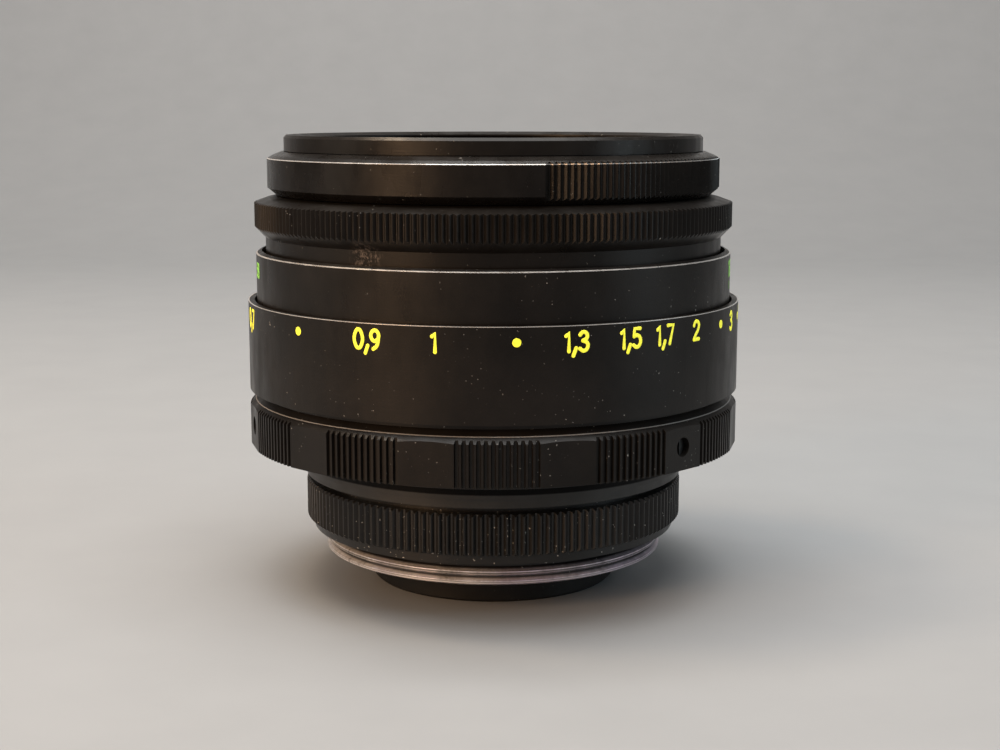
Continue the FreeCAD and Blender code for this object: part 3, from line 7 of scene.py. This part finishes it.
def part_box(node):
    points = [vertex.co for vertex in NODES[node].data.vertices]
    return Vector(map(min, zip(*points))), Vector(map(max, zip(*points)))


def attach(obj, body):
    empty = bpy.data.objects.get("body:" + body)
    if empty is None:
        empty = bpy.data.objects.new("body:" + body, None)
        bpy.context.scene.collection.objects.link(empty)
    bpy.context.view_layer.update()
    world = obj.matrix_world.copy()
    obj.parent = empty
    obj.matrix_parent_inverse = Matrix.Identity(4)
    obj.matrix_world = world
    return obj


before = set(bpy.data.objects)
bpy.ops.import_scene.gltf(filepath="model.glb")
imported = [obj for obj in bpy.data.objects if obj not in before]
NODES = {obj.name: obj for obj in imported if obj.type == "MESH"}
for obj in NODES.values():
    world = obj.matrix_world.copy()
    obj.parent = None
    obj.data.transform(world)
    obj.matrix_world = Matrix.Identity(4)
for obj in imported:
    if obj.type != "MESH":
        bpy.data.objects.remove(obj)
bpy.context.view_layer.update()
MM = 0.001


# ------------------------------------------------------------------ materials
class Shader:
    """Small helper that wires one procedural material."""

    def __init__(self, name):
        self.mat = bpy.data.materials.new(name)
        self.mat.use_nodes = True
        self.tree = self.mat.node_tree
        self.tree.nodes.clear()
        self.out = self.node("ShaderNodeOutputMaterial")
        self.bsdf = self.node("ShaderNodeBsdfPrincipled")
        self.tree.links.new(self.bsdf.outputs[0], self.out.inputs[0])
        self.coord = self.node("ShaderNodeTexCoord").outputs["Object"]
        split = self.node("ShaderNodeSeparateXYZ")
        self.link(self.coord, split.inputs[0])
        self.x, self.y, self.z = split.outputs

    def node(self, kind):
        return self.tree.nodes.new(kind)

    def link(self, a, b):
        self.tree.links.new(a, b)

    def put(self, socket, value):
        if hasattr(value, "links"):
            self.link(value, socket)
        else:
            socket.default_value = value

    def math(self, op, a, b=0.0, c=None):
        n = self.node("ShaderNodeMath")
        n.operation = op
        self.put(n.inputs[0], a)
        self.put(n.inputs[1], b)
        if c is not None:
            self.put(n.inputs[2], c)
        return n.outputs[0]

    def noise(self, scale, detail=3.0, rough=0.5, stretch=None):
        n = self.node("ShaderNodeTexNoise")
        n.inputs["Scale"].default_value = scale
        n.inputs["Detail"].default_value = detail
        n.inputs["Roughness"].default_value = rough
        source = self.coord
        if stretch is not None:
            m = self.node("ShaderNodeMapping")
            m.inputs["Scale"].default_value = stretch
            self.link(self.coord, m.inputs[0])
            source = m.outputs[0]
        self.link(source, n.inputs["Vector"])
        return n.outputs["Fac"]

    def ramp(self, fac, low, high, a=0.0, b=1.0):
        n = self.node("ShaderNodeMapRange")
        self.put(n.inputs[0], fac)
        for i, value in enumerate((low, high, a, b)):
            n.inputs[i + 1].default_value = value
        return n.outputs[0]

    def mix(self, fac, a, b):
        n = self.node("ShaderNodeMix")
        n.data_type = "RGBA"
        self.put(n.inputs[0], fac)
        for socket, value in ((n.inputs[6], a), (n.inputs[7], b)):
            if isinstance(value, tuple):
                socket.default_value = (*value, 1.0)
            else:
                self.link(value, socket)
        return n.outputs[2]

    def bump(self, height, depth_mm, strength=1.0):
        n = self.node("ShaderNodeBump")
        n.inputs["Distance"].default_value = depth_mm * MM
        n.inputs["Strength"].default_value = strength
        self.link(height, n.inputs["Height"])
        self.link(n.outputs[0], self.bsdf.inputs["Normal"])

    def set(self, name, value):
        socket = self.bsdf.inputs[name]
        if isinstance(value, tuple):
            socket.default_value = (*value, 1.0)
        else:
            self.put(socket, value)

    def band(self, level_mm, half_mm):
        """1 inside a thin band of height, 0 outside."""
        n = self.node("ShaderNodeMath")
        n.operation = "COMPARE"
        self.link(self.z, n.inputs[0])
        n.inputs[1].default_value = level_mm * MM
        n.inputs[2].default_value = half_mm * MM
        return n.outputs[0]

    def radius(self):
        r2 = self.math("ADD", self.math("MULTIPLY", self.x, self.x), self.math("MULTIPLY", self.y, self.y))
        return self.math("SQRT", r2)


BARE_RIM_HIGHLIGHT = (0.80, 0.77, 0.74)
DUST = (0.62, 0.60, 0.56)
SCUFFED = (0.30, 0.25, 0.22)


def satin_black(name, tone=(0.0046, 0.0038, 0.0032), rough=0.36, rim_wear_highlights=(), dust=0.768,
                grain=0.008, turn=True, scuff=None, gloss=0.18):
    """Black anodised aluminium: fine grain, faint turning marks, dust specks, and bare rim bands that are
    partly wear and partly a painted highlight.

    rim_wear_highlights is a list of (level mm, half width mm, share worn, least radius mm): bare bands that
    stand partly for worn rims and partly for painted chamfer highlights;
    scuff is (radius mm, plan angle, level mm) of one rubbed spot."""
    s = Shader(name)
    cloud = s.noise(120.0, 4.0, 0.6)
    smear = s.noise(420.0, 3.0, 0.6, (1.0, 1.0, 0.35))
    grime = s.ramp(cloud, 0.35, 0.75)
    colour = s.mix(grime, tone, tuple(2.1 * v for v in tone))
    speck = s.noise(3400.0, 1.0, 0.3)
    patch = s.ramp(s.noise(160.0, 2.0), 0.45, 0.66)
    specks = s.math("MULTIPLY", s.ramp(speck, dust, dust + 0.02), patch)
    colour = s.mix(s.math("MULTIPLY", specks, 0.40), colour, DUST)
    if scuff is not None:
        rad, plan, level = scuff
        turn_at = math.radians(plan)
        spot = Vector((rad * math.sin(turn_at), -rad * math.cos(turn_at), level)) * MM
        away = s.node("ShaderNodeVectorMath")
        away.operation = "DISTANCE"
        s.link(s.coord, away.inputs[0])
        away.inputs[1].default_value = spot
        near = s.ramp(away.outputs["Value"], 2.4 * MM, 0.3 * MM)
        scratch = s.ramp(s.noise(2600.0, 5.0, 0.8, (1.0, 1.0, 0.6)), 0.50, 0.62)
        rubbed = s.math("MULTIPLY", s.math("MULTIPLY", near, scratch), 0.55)
        colour = s.mix(rubbed, colour, SCUFFED)
    roughness = s.math("ADD", s.ramp(smear, 0.3, 0.7, rough - 0.07, rough + 0.09),
                       s.math("MULTIPLY", specks, 0.3))
    worn_rim_highlight = None
    # Each band paints bare metal along a rim. It is partly wear and partly a painted highlight standing in
    # for the chamfer glint that the sharp CAD edge lacks.
    for level, half, share, rim in rim_wear_highlights:
        edge_noise = s.noise(500.0, 4.0, 0.7, (1.0, 1.0, 0.05))
        worn = s.math("MULTIPLY", s.band(level, half), s.ramp(edge_noise, 0.2, 0.7, share * 0.6, share))
        worn = s.math("MULTIPLY", worn, s.ramp(s.radius(), (rim - 0.16) * MM, (rim - 0.08) * MM))
        worn_rim_highlight = worn if worn_rim_highlight is None else s.math("MAXIMUM", worn_rim_highlight, worn)
    if worn_rim_highlight is not None:
        colour = s.mix(worn_rim_highlight, colour, BARE_RIM_HIGHLIGHT)
        roughness = s.math("MULTIPLY_ADD", worn_rim_highlight, -0.05, roughness)
        s.set("Metallic", worn_rim_highlight)
    s.set("Base Color", colour)
    s.set("Roughness", roughness)
    s.set("Specular IOR Level", gloss)
    fine = s.noise(5200.0, 2.0, 0.5)
    if turn:
        rings = s.noise(6000.0, 2.0, 0.5, (0.02, 0.02, 1.0))
        fine = s.math("MULTIPLY_ADD", rings, 0.6, fine)
    s.bump(fine, grain)
    return s.mat


def machined(name, colour, rough=0.28, metallic=1.0, streak=(1.0, 1.0, 12.0), grime=0.5):
    """Bare turned metal with fine rings and a dull film."""
    s = Shader(name)
    rings = s.noise(700.0, 4.0, 0.6, streak)
    film = s.ramp(s.noise(180.0, 4.0, 0.65), 0.4, 0.75)
    dark = tuple(v * (1.0 - grime) for v in colour)
    s.set("Base Color", s.mix(film, colour, dark))
    s.set("Metallic", metallic)
    s.set("Roughness", s.ramp(rings, 0.3, 0.7, rough - 0.08, rough + 0.12))
    s.bump(rings, 0.006)
    return s.mat


def coated_glass(name, tint=(0.93, 0.95, 1.0), film=(0.42, 0.30, 0.75)):
    """Lens glass with a faint violet coating and a trace of haze."""
    s = Shader(name)
    haze = s.noise(300.0, 3.0, 0.6)
    s.set("Base Color", tint)
    s.set("Transmission Weight", 1.0)
    s.set("IOR", 1.52)
    s.set("Roughness", s.ramp(haze, 0.45, 0.8, 0.0, 0.05))
    s.set("Specular Tint", (*film,))
    s.set("Coat Weight", 0.3)
    s.set("Coat Tint", film)
    s.set("Coat Roughness", 0.03)
    return s.mat


def paint(name, colour, painted_glow=0.0):
    """Matt paint filled into an engraving, slightly uneven and chipped at the edges; painted_glow adds
    emission, painted light that makes the paint read brighter.
    """
    s = Shader(name)
    uneven = s.noise(3200.0, 3.0, 0.6)
    pale = tuple(min(1.0, 1.15 * v) for v in colour)
    worn = tuple(0.72 * v for v in colour)
    s.set("Base Color", s.mix(s.ramp(uneven, 0.3, 0.7), worn, pale))
    s.set("Roughness", s.ramp(uneven, 0.3, 0.7, 0.45, 0.7))
    # Emission is painted light: the paint glows a little to look brighter than the lamps alone make it.
    if painted_glow > 0:
        s.set("Emission Color", colour)
        s.set("Emission Strength", painted_glow)
    s.bump(uneven, 0.02)
    return s.mat


def base_with_painted_neck_shade(name, flange_top):
    """Base: satin flange; the neck above it under the grip gets painted shade, near-black with low
    specular, for the shadowed recess there.
    """
    s = Shader(name)
    cloud = s.ramp(s.noise(150.0, 4.0, 0.6), 0.35, 0.75)
    flange = s.mix(cloud, (0.010, 0.0098, 0.0090), (0.020, 0.019, 0.018))
    neck_shade = s.ramp(s.z, (flange_top - 0.05) * MM, (flange_top + 0.10) * MM)
    # Painted shade: above the flange the colour goes near-black and the specular drops, standing in for the
    # shadow under the grip.
    s.set("Base Color", s.mix(neck_shade, flange, (0.0015, 0.0015, 0.0015)))
    s.set("Roughness", s.ramp(s.noise(420.0, 3.0), 0.3, 0.7, 0.36, 0.50))
    s.set("Specular IOR Level", s.ramp(neck_shade, 0.0, 1.0, 0.34, 0.06))
    s.bump(s.noise(5200.0, 2.0), 0.008)
    return s.mat


# Male thread: its rise above the lower rim and the spacing of its crests, in mm.
THREAD_RISE = 2.19
CREST_SPACING = 1.11


def worn_mount(name, low):
    """Mount ring: black above and in the thread roots, bare rubbed metal on the thread crests, and a bare
    band at the lower rim that is partly wear and partly a painted highlight.
    """
    s = Shader(name)
    cloud = s.noise(150.0, 4.0, 0.6)
    black = s.mix(s.ramp(cloud, 0.35, 0.75), (0.0050, 0.0047, 0.0044), (0.011, 0.0105, 0.010))
    rub = s.noise(420.0, 5.0, 0.7, (1.0, 1.0, 0.12))
    tint = s.noise(70.0, 3.0, 0.6)
    bare = s.mix(s.ramp(tint, 0.4, 0.6), (0.95, 0.91, 0.90), (0.66, 0.58, 0.66))
    on_thread = s.ramp(s.z, (low + THREAD_RISE + 0.05) * MM, (low + THREAD_RISE - 0.1) * MM)
    crest = s.ramp(s.radius(), 20.4 * MM, 20.95 * MM, 0.10, 1.0)
    rise = s.math("MULTIPLY", s.math("SUBTRACT", s.z, low * MM), 2.0 * math.pi / (CREST_SPACING * 0.5 * MM))
    line = s.ramp(s.math("SINE", rise), -1.0, 0.2, 0.12, 1.0)
    # Bare band at the lower rim: partly rubbed wear, partly a painted highlight along the bottom edge.
    lower_rim_highlight = s.ramp(s.z, (low + 0.55) * MM, (low + 0.25) * MM)
    worn = s.math("MULTIPLY", s.math("MULTIPLY", crest, line), s.ramp(rub, 0.34, 0.58, 0.40, 1.0))
    worn = s.math("MULTIPLY", s.math("MAXIMUM", worn, s.math("MULTIPLY", lower_rim_highlight, 0.95)), on_thread)
    specks = s.ramp(s.noise(3400.0, 1.0, 0.3), 0.75, 0.77)
    colour = s.mix(worn, black, bare)
    colour = s.mix(s.math("MULTIPLY", specks, 0.5), colour, DUST)
    s.set("Base Color", colour)
    s.set("Metallic", worn)
    s.set("Roughness", s.ramp(rub, 0.3, 0.7, 0.26, 0.46))
    s.set("Specular IOR Level", 0.30)
    s.bump(s.noise(4200.0, 2.0), 0.010)
    return s.mat


def level_of(node, top=True):
    """Top or bottom level of a CAD node in mm."""
    low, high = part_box(node)
    return (high if top else low)[2] / MM


def paint_node(node, mat):
    mesh = NODES[node].data
    mesh.materials.clear()
    mesh.materials.append(mat)


preset_top = level_of("preset_ring")
aperture_top = level_of("aperture_ring")
scale_top = level_of("depth_scale_sleeve")
distance_top = level_of("distance_ring")
grip_top = level_of("grip_ring")
thread_low = level_of("mount_ring", False)
distance_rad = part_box("distance_ring")[1][0] / MM

# Bare lines at the rims, partly wear and partly a painted highlight for the chamfer glints: level, half
# width, share worn and least radius, lengths in mm.
OUTER_RIM = 27.0
PRESET_WEAR_HIGHLIGHT = (preset_top - 0.80, 0.05, 0.75, OUTER_RIM)
SCALE_WEAR_HIGHLIGHT = (scale_top - 0.28, 0.06, 0.85, OUTER_RIM)
DISTANCE_WEAR_HIGHLIGHT = (distance_top - 0.02, 0.05, 0.9, distance_rad)
GRIP_WEAR_HIGHLIGHT = (grip_top - 1.31, 0.045, 0.40, OUTER_RIM)
SKIRT_SCUFF = (28.0, -30.0, aperture_top - 5.7)
FLANGE_RISE = 1.65

paint_node("filter_ring", satin_black("black_filter", rough=0.32))
paint_node("preset_ring", satin_black("black_preset", rim_wear_highlights=(PRESET_WEAR_HIGHLIGHT,), rough=0.27))
paint_node("aperture_ring", satin_black("black_aperture", rough=0.34, turn=False, scuff=SKIRT_SCUFF))
paint_node("depth_scale_sleeve", satin_black("black_scale", rim_wear_highlights=(SCALE_WEAR_HIGHLIGHT,), rough=0.33))
paint_node("distance_ring", satin_black("black_distance", rim_wear_highlights=(DISTANCE_WEAR_HIGHLIGHT,), rough=0.35))
paint_node("grip_ring", satin_black("black_grip", rough=0.36, turn=False, dust=0.76, rim_wear_highlights=(GRIP_WEAR_HIGHLIGHT,)))
paint_node("mount_ring", worn_mount("black_mount", thread_low))
paint_node("base_body", base_with_painted_neck_shade("base_painted_neck_shade", level_of("base_body", False) + FLANGE_RISE))
for name in ("front_cell", "name_ring", "front_barrel", "front_lens_retainer", "doublet_retainer",
             "rear_doublet_retainer", "rear_lens_retainer", "iris_housing", "rear_cell"):
    paint_node(name, satin_black("matt_" + name, (0.006, 0.006, 0.006), rough=0.48))
for name in ("barrel_helicoid", "barrel_lock_ring", "focus_retainer"):
    paint_node(name, machined("turned_" + name, (0.60, 0.58, 0.54)))
paint_node("focus_sleeve", satin_black("dark_focus_sleeve", (0.012, 0.012, 0.012), rough=0.45))
for name in ("guide_keys", "click_plug", "iris_cam_ring", "iris_drive_arm"):
    paint_node(name, machined("brass_" + name, (0.62, 0.46, 0.20)))
for name in ("mount_ring_screws", "guide_key_screws", "focus_stop_pins", "distance_ring_screws",
             "focus_limit_pin", "depth_scale_screws", "iris_drive_screw", "preset_ring_screws",
             "click_ball", "click_spring"):
    paint_node(name, machined("steel_" + name, (0.20, 0.20, 0.20), 0.35))
paint_node("grip_ring_screws", machined("steel_grip_ring_screws", (0.10, 0.10, 0.10), 0.42))
for k in range(1, 9):
    paint_node("iris_blade_%d" % k, machined("blued_blade_%d" % k, (0.05, 0.05, 0.06), 0.38))
for name in ("lens_front", "lens_second", "lens_third", "lens_fourth", "lens_fifth", "lens_rear"):
    paint_node(name, coated_glass("glass_" + name))


# ------------------------------------------------------------------ figures on the rings
# Strokes in a box one unit high, baseline at 0; True marks a smooth curve.
GLYPHS = {
    "0": (0.52, [(True, True, [(0.26, 1.0), (0.46, 0.80), (0.46, 0.20), (0.26, 0.0), (0.06, 0.20),
                               (0.06, 0.80)])]),
    "1": (0.28, [(False, False, [(0.04, 0.82), (0.20, 0.98), (0.20, 0.0)])]),
    "2": (0.62, [(True, False, [(0.06, 0.78), (0.18, 0.97), (0.40, 0.98), (0.54, 0.80), (0.46, 0.52),
                                (0.22, 0.24), (0.06, 0.0)]), (False, False, [(0.06, 0.0), (0.56, 0.0)])]),
    "3": (0.54, [(True, False, [(0.06, 0.86), (0.22, 1.0), (0.42, 0.92), (0.44, 0.68), (0.22, 0.54)]),
                 (True, False, [(0.22, 0.54), (0.46, 0.42), (0.48, 0.16), (0.28, 0.0), (0.05, 0.12)])]),
    "4": (0.62, [(False, False, [(0.42, 1.0), (0.04, 0.28), (0.58, 0.28)]),
                 (False, False, [(0.44, 0.55), (0.44, 0.0)])]),
    "5": (0.54, [(False, False, [(0.46, 1.0), (0.11, 1.0), (0.08, 0.58)]),
                 (True, False, [(0.08, 0.58), (0.28, 0.64), (0.47, 0.48), (0.47, 0.16), (0.26, 0.0),
                                (0.05, 0.12)])]),
    "6": (0.62, [(True, False, [(0.46, 1.0), (0.20, 0.80), (0.07, 0.44), (0.10, 0.12), (0.31, 0.0),
                                (0.54, 0.14), (0.54, 0.42), (0.31, 0.56), (0.09, 0.40)])]),
    "7": (0.52, [(False, False, [(0.05, 1.0), (0.47, 1.0), (0.20, 0.0)])]),
    "8": (0.62, [(True, True, [(0.31, 1.0), (0.52, 0.88), (0.50, 0.64), (0.31, 0.54), (0.12, 0.64),
                               (0.10, 0.88)]),
                 (True, True, [(0.31, 0.54), (0.56, 0.38), (0.55, 0.12), (0.31, 0.0), (0.07, 0.12),
                               (0.06, 0.38)])]),
    "9": (0.56, [(True, False, [(0.48, 0.56), (0.28, 0.42), (0.08, 0.56), (0.08, 0.86), (0.28, 1.0),
                                (0.48, 0.86), (0.48, 0.50), (0.38, 0.16), (0.18, 0.0)])]),
    ",": (0.14, [(False, False, [(0.15, 0.16), (0.0, -0.24)])]),
}
GAP = 0.17
MARK_DEPTH = 0.015


def stroke_mesh(strokes, stroke):
    """Mesh of round strokes; strokes hold points in mm, already laid out flat."""
    curve = bpy.data.curves.new("stroke", "CURVE")
    curve.dimensions = "3D"
    curve.bevel_depth = stroke / 2
    curve.bevel_resolution = 3
    curve.resolution_u = 8
    curve.use_fill_caps = True
    for smooth, closed, points in strokes:
        spline = curve.splines.new("BEZIER")
        spline.bezier_points.add(len(points) - 1)
        spline.use_cyclic_u = closed
        for spot, (x, y) in zip(spline.bezier_points, points):
            spot.co = (x, 0.0, y)
            spot.handle_left_type = spot.handle_right_type = "AUTO" if smooth else "VECTOR"
    holder = bpy.data.objects.new("stroke", curve)
    bpy.context.scene.collection.objects.link(holder)
    bpy.context.view_layer.update()
    mesh = bpy.data.meshes.new_from_object(holder.evaluated_get(bpy.context.evaluated_depsgraph_get()))
    bpy.data.objects.remove(holder)
    bm = bmesh.new()
    bm.from_mesh(mesh)
    for smooth, closed, points in strokes:
        if closed:
            continue
        for x, y in (points[0], points[-1]):
            bmesh.ops.create_uvsphere(bm, u_segments=14, v_segments=8, radius=stroke / 2,
                                      matrix=Matrix.Translation((x, 0.0, y)))
    bpy.data.meshes.remove(mesh)
    return bm


def wrap(bm, radius, plan_deg, base_mm, depth):
    """Lay a flat mark on a cylinder: x runs round it, y becomes a thin relief."""
    for v in bm.verts:
        turn = math.radians(plan_deg) + v.co.x / radius
        out = radius + max(-depth, min(depth, -v.co.y * 0.2))
        v.co = Vector((out * math.sin(turn), -out * math.cos(turn), base_mm + v.co.z)) * MM
    bmesh.ops.recalc_face_normals(bm, faces=bm.faces)


def piece(name, bm, mat, body):
    mesh = bpy.data.meshes.new(name)
    bm.to_mesh(mesh)
    bm.free()
    for poly in mesh.polygons:
        poly.use_smooth = True
    obj = bpy.data.objects.new(name, mesh)
    bpy.context.scene.collection.objects.link(obj)
    mesh.materials.append(mat)
    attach(obj, body)
    return obj


def figure(name, text, radius, plan_deg, base_mm, height, stroke, mat, body, depth=MARK_DEPTH):
    """A number standing on a ring, centred on a plan angle."""
    width = sum(GLYPHS[c][0] + GAP for c in text) - GAP
    strokes = []
    pen = -width / 2
    for c in text:
        for smooth, closed, points in GLYPHS[c][1]:
            placed = [((pen + x) * height, y * height) for x, y in points]
            strokes.append((smooth, closed, placed))
        pen += GLYPHS[c][0] + GAP
    bm = stroke_mesh(strokes, stroke)
    wrap(bm, radius, plan_deg, base_mm, depth)
    return piece(name, bm, mat, body)


def dot(name, radius, plan_deg, level_mm, diameter, mat, body, depth=MARK_DEPTH):
    bm = bmesh.new()
    bmesh.ops.create_uvsphere(bm, u_segments=24, v_segments=12, radius=diameter / 2)
    wrap(bm, radius, plan_deg, level_mm, depth)
    return piece(name, bm, mat, body)


def tick(name, radius, plan_deg, low_mm, high_mm, stroke, mat, body, depth=MARK_DEPTH):
    bm = stroke_mesh([(False, False, [(0.0, 0.0), (0.0, high_mm - low_mm)])], stroke)
    wrap(bm, radius, plan_deg, low_mm, depth)
    return piece(name, bm, mat, body)


# The last value of each paint is its emission strength, painted light that brightens the figures.
yellow = paint("paint_yellow", (0.92, 0.88, 0.05), 0.32)
green = paint("paint_green", (0.26, 0.66, 0.09), 0.12)
red = paint("paint_red", (0.62, 0.03, 0.02), 0.03)
scale_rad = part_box("depth_scale_sleeve")[1][0] / MM
preset_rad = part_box("preset_ring")[1][0] / MM
skirt_rad = 27.98

# The focus scale follows the thread: extension e (mm) for a distance D (mm) of a lens of
# focal length f obeys e + f*f/e = D - 2f, and every mm of extension is a fixed turn.
FOCAL = 58.0
INDEX_PLAN = 103.65
TURN_PER_MM = 30.30


def scale_plan(metres):
    reach = metres * 1000.0 - 2.0 * FOCAL
    extension = (reach - math.sqrt(reach * reach - 4.0 * FOCAL * FOCAL)) / 2.0
    return INDEX_PLAN - extension * TURN_PER_MM


FIGURE_HEIGHT = 2.05
FIGURE_STROKE = 0.44
DOT_DROP = 1.72
DOT_SIZE = 0.98
figure_base = distance_top - 2.80
for text in ("0,5", "0,6", "0,7", "0,9", "1", "1,3", "1,5", "1,7", "2", "3", "5"):
    plan = scale_plan(float(text.replace(",", ".")))
    figure("distance_figure_" + text.replace(",", "_"), text, distance_rad, plan, figure_base,
           FIGURE_HEIGHT, FIGURE_STROKE, yellow, "focus_ring")
for metres in (0.55, 0.65, 0.8, 1.15, 2.5, 4.0, 10.0):
    dot("distance_dot_" + str(metres).replace(".", "_"), distance_rad, scale_plan(metres),
        distance_top - DOT_DROP, DOT_SIZE, yellow, "focus_ring")
LOOP = [(True, True, [(0.0, 0.5), (0.35, 0.95), (0.85, 0.80), (0.85, 0.20), (0.35, 0.05), (0.0, 0.5),
                      (-0.35, 0.95), (-0.85, 0.80), (-0.85, 0.20), (-0.35, 0.05)])]
LOOP_WIDTH = 1.6
LOOP_HEIGHT = 1.7
loop_strokes = [(a, b, [(x * LOOP_WIDTH, y * LOOP_HEIGHT) for x, y in pts]) for a, b, pts in LOOP]
loop = stroke_mesh(loop_strokes, FIGURE_STROKE)
wrap(loop, distance_rad, INDEX_PLAN, figure_base + 0.2, MARK_DEPTH)
piece("distance_infinity", loop, yellow, "focus_ring")

# depth scale, green, mirrored about the index
green_base = scale_top - 2.9
GREEN_HEIGHT = 1.85
GREEN_STROKE = 0.30
tick("scale_index", scale_rad, INDEX_PLAN, scale_top - 5.4, scale_top - 1.0, 0.34, red, "barrel")
for text, offset in (("4", 6.5), ("8", 12.5), ("11", 18.0), ("16", 26.5)):
    for side, tag in ((-1, "near"), (1, "far")):
        plan = INDEX_PLAN + side * offset
        figure("scale_figure_%s_%s" % (text, tag), text, scale_rad, plan, green_base,
               GREEN_HEIGHT, GREEN_STROKE, green, "barrel")
        tick("scale_tick_%s_%s" % (text, tag), scale_rad, plan, scale_top - 4.4, scale_top - 3.6, 0.22,
             green, "barrel")
figure("scale_figure_focal", "58", scale_rad, -75.5, green_base - 0.1, 1.6, 0.32, green, "barrel")

# stop figures on the plain part of the preset ring, and its index on the skirt below
PRESET_STEP = 40.0 / 6.0
for k, text in enumerate(("2", "2,8", "4", "5,6", "8", "11", "16")):
    figure("preset_figure_" + text.replace(",", "_"), text, preset_rad, INDEX_PLAN + k * PRESET_STEP,
           preset_top - 3.35, 1.6, 0.26, yellow, "preset_control")
dot("aperture_index", skirt_rad, INDEX_PLAN, aperture_top - 5.6, 0.9, red, "aperture_control")


# ------------------------------------------------------------------ floor, light, camera
TABLE_DARK = (0.195, 0.202, 0.209)
TABLE_PALE = (0.222, 0.229, 0.236)


def floor():
    """Flat table that sweeps up into a plain backdrop."""
    bm = bmesh.new()
    bmesh.ops.create_grid(bm, x_segments=1, y_segments=120, size=1.0)
    half_width = 2.5
    half_depth = 1.3
    middle = 0.4
    bend_from = 0.42
    bend_rad = 0.35
    for v in bm.verts:
        along = v.co.y * half_depth + middle
        v.co.x *= half_width
        v.co.y = along
        if along > bend_from:
            turn = min((along - bend_from) / bend_rad, math.pi / 2)
            rest = along - bend_from - turn * bend_rad
            v.co.y = bend_from + bend_rad * math.sin(turn)
            v.co.z = bend_rad * (1.0 - math.cos(turn)) + max(rest, 0.0)
    mesh = bpy.data.meshes.new("floor")
    bm.to_mesh(mesh)
    bm.free()
    for poly in mesh.polygons:
        poly.use_smooth = True
    obj = bpy.data.objects.new("floor", mesh)
    bpy.context.scene.collection.objects.link(obj)
    s = Shader("pale_floor")
    s.set("Base Color", s.mix(s.noise(60.0, 4.0, 0.6), TABLE_DARK, TABLE_PALE))
    s.set("Roughness", 0.6)
    mesh.materials.append(s.mat)


def area(name, place, aim, width, height, power, colour):
    light = bpy.data.lights.new(name, "AREA")
    light.shape = "RECTANGLE"
    light.size = width
    light.size_y = height
    light.energy = power
    light.color = colour
    obj = bpy.data.objects.new(name, light)
    bpy.context.scene.collection.objects.link(obj)
    obj.location = place
    obj.rotation_mode = "QUATERNION"
    obj.rotation_quaternion = (Vector(aim) - Vector(place)).to_track_quat("-Z", "Y")
    return obj


floor()
world = bpy.data.worlds.new("studio")
bpy.context.scene.world = world
world.use_nodes = True
SKY_TONE = (0.55, 0.56, 0.58, 1.0)
SKY_STRENGTH = 0.30
sky = world.node_tree.nodes["Background"]
sky.inputs[0].default_value = SKY_TONE
sky.inputs[1].default_value = SKY_STRENGTH
area("soft_top", (-0.03, -0.08, 0.62), (0.0, 0.0, 0.0), 0.7, 0.5, 7.5, (1.0, 0.99, 0.97))
area("warm_left", (-0.42, -0.40, 0.22), (0.0, 0.0, 0.03), 0.20, 0.30, 2.9, (1.0, 0.60, 0.32))
area("rim_warm", (-0.24, 0.02, 0.48), (0.0, 0.0, 0.05), 0.10, 0.10, 1.0, (1.0, 0.72, 0.45))
area("side_left", (-0.60, -0.05, 0.26), (0.0, 0.0, 0.03), 0.25, 0.35, 1.0, (1.0, 0.86, 0.68))
area("cool_right", (0.50, -0.16, 0.22), (0.0, 0.0, 0.03), 0.22, 0.40, 0.8, (0.80, 0.94, 1.0))
area("backdrop_wash", (0.0, 0.25, 0.9), (0.0, 0.75, 0.25), 0.8, 0.2, 6.5, (1.0, 0.96, 0.91))

DISTANCE = 202.91 * MM
EYE = 58.02 * MM
PITCH = math.radians(9.247)
SENSOR = 36.0
FOCAL_RATIO = 1.6336
SHIFT = 0.00672
camera = bpy.data.cameras.new("camera")
camera.sensor_width = SENSOR
camera.lens = FOCAL_RATIO * SENSOR
camera.shift_x = SHIFT
camera.clip_start = 0.01
camera.clip_end = 20.0
eye = bpy.data.objects.new("camera", camera)
bpy.context.scene.collection.objects.link(eye)
eye.location = (0.0, -DISTANCE, EYE)
eye.rotation_euler = (math.pi / 2 - PITCH, 0.0, 0.0)
bpy.context.scene.camera = eye
bpy.context.scene.view_settings.view_transform = "Standard"
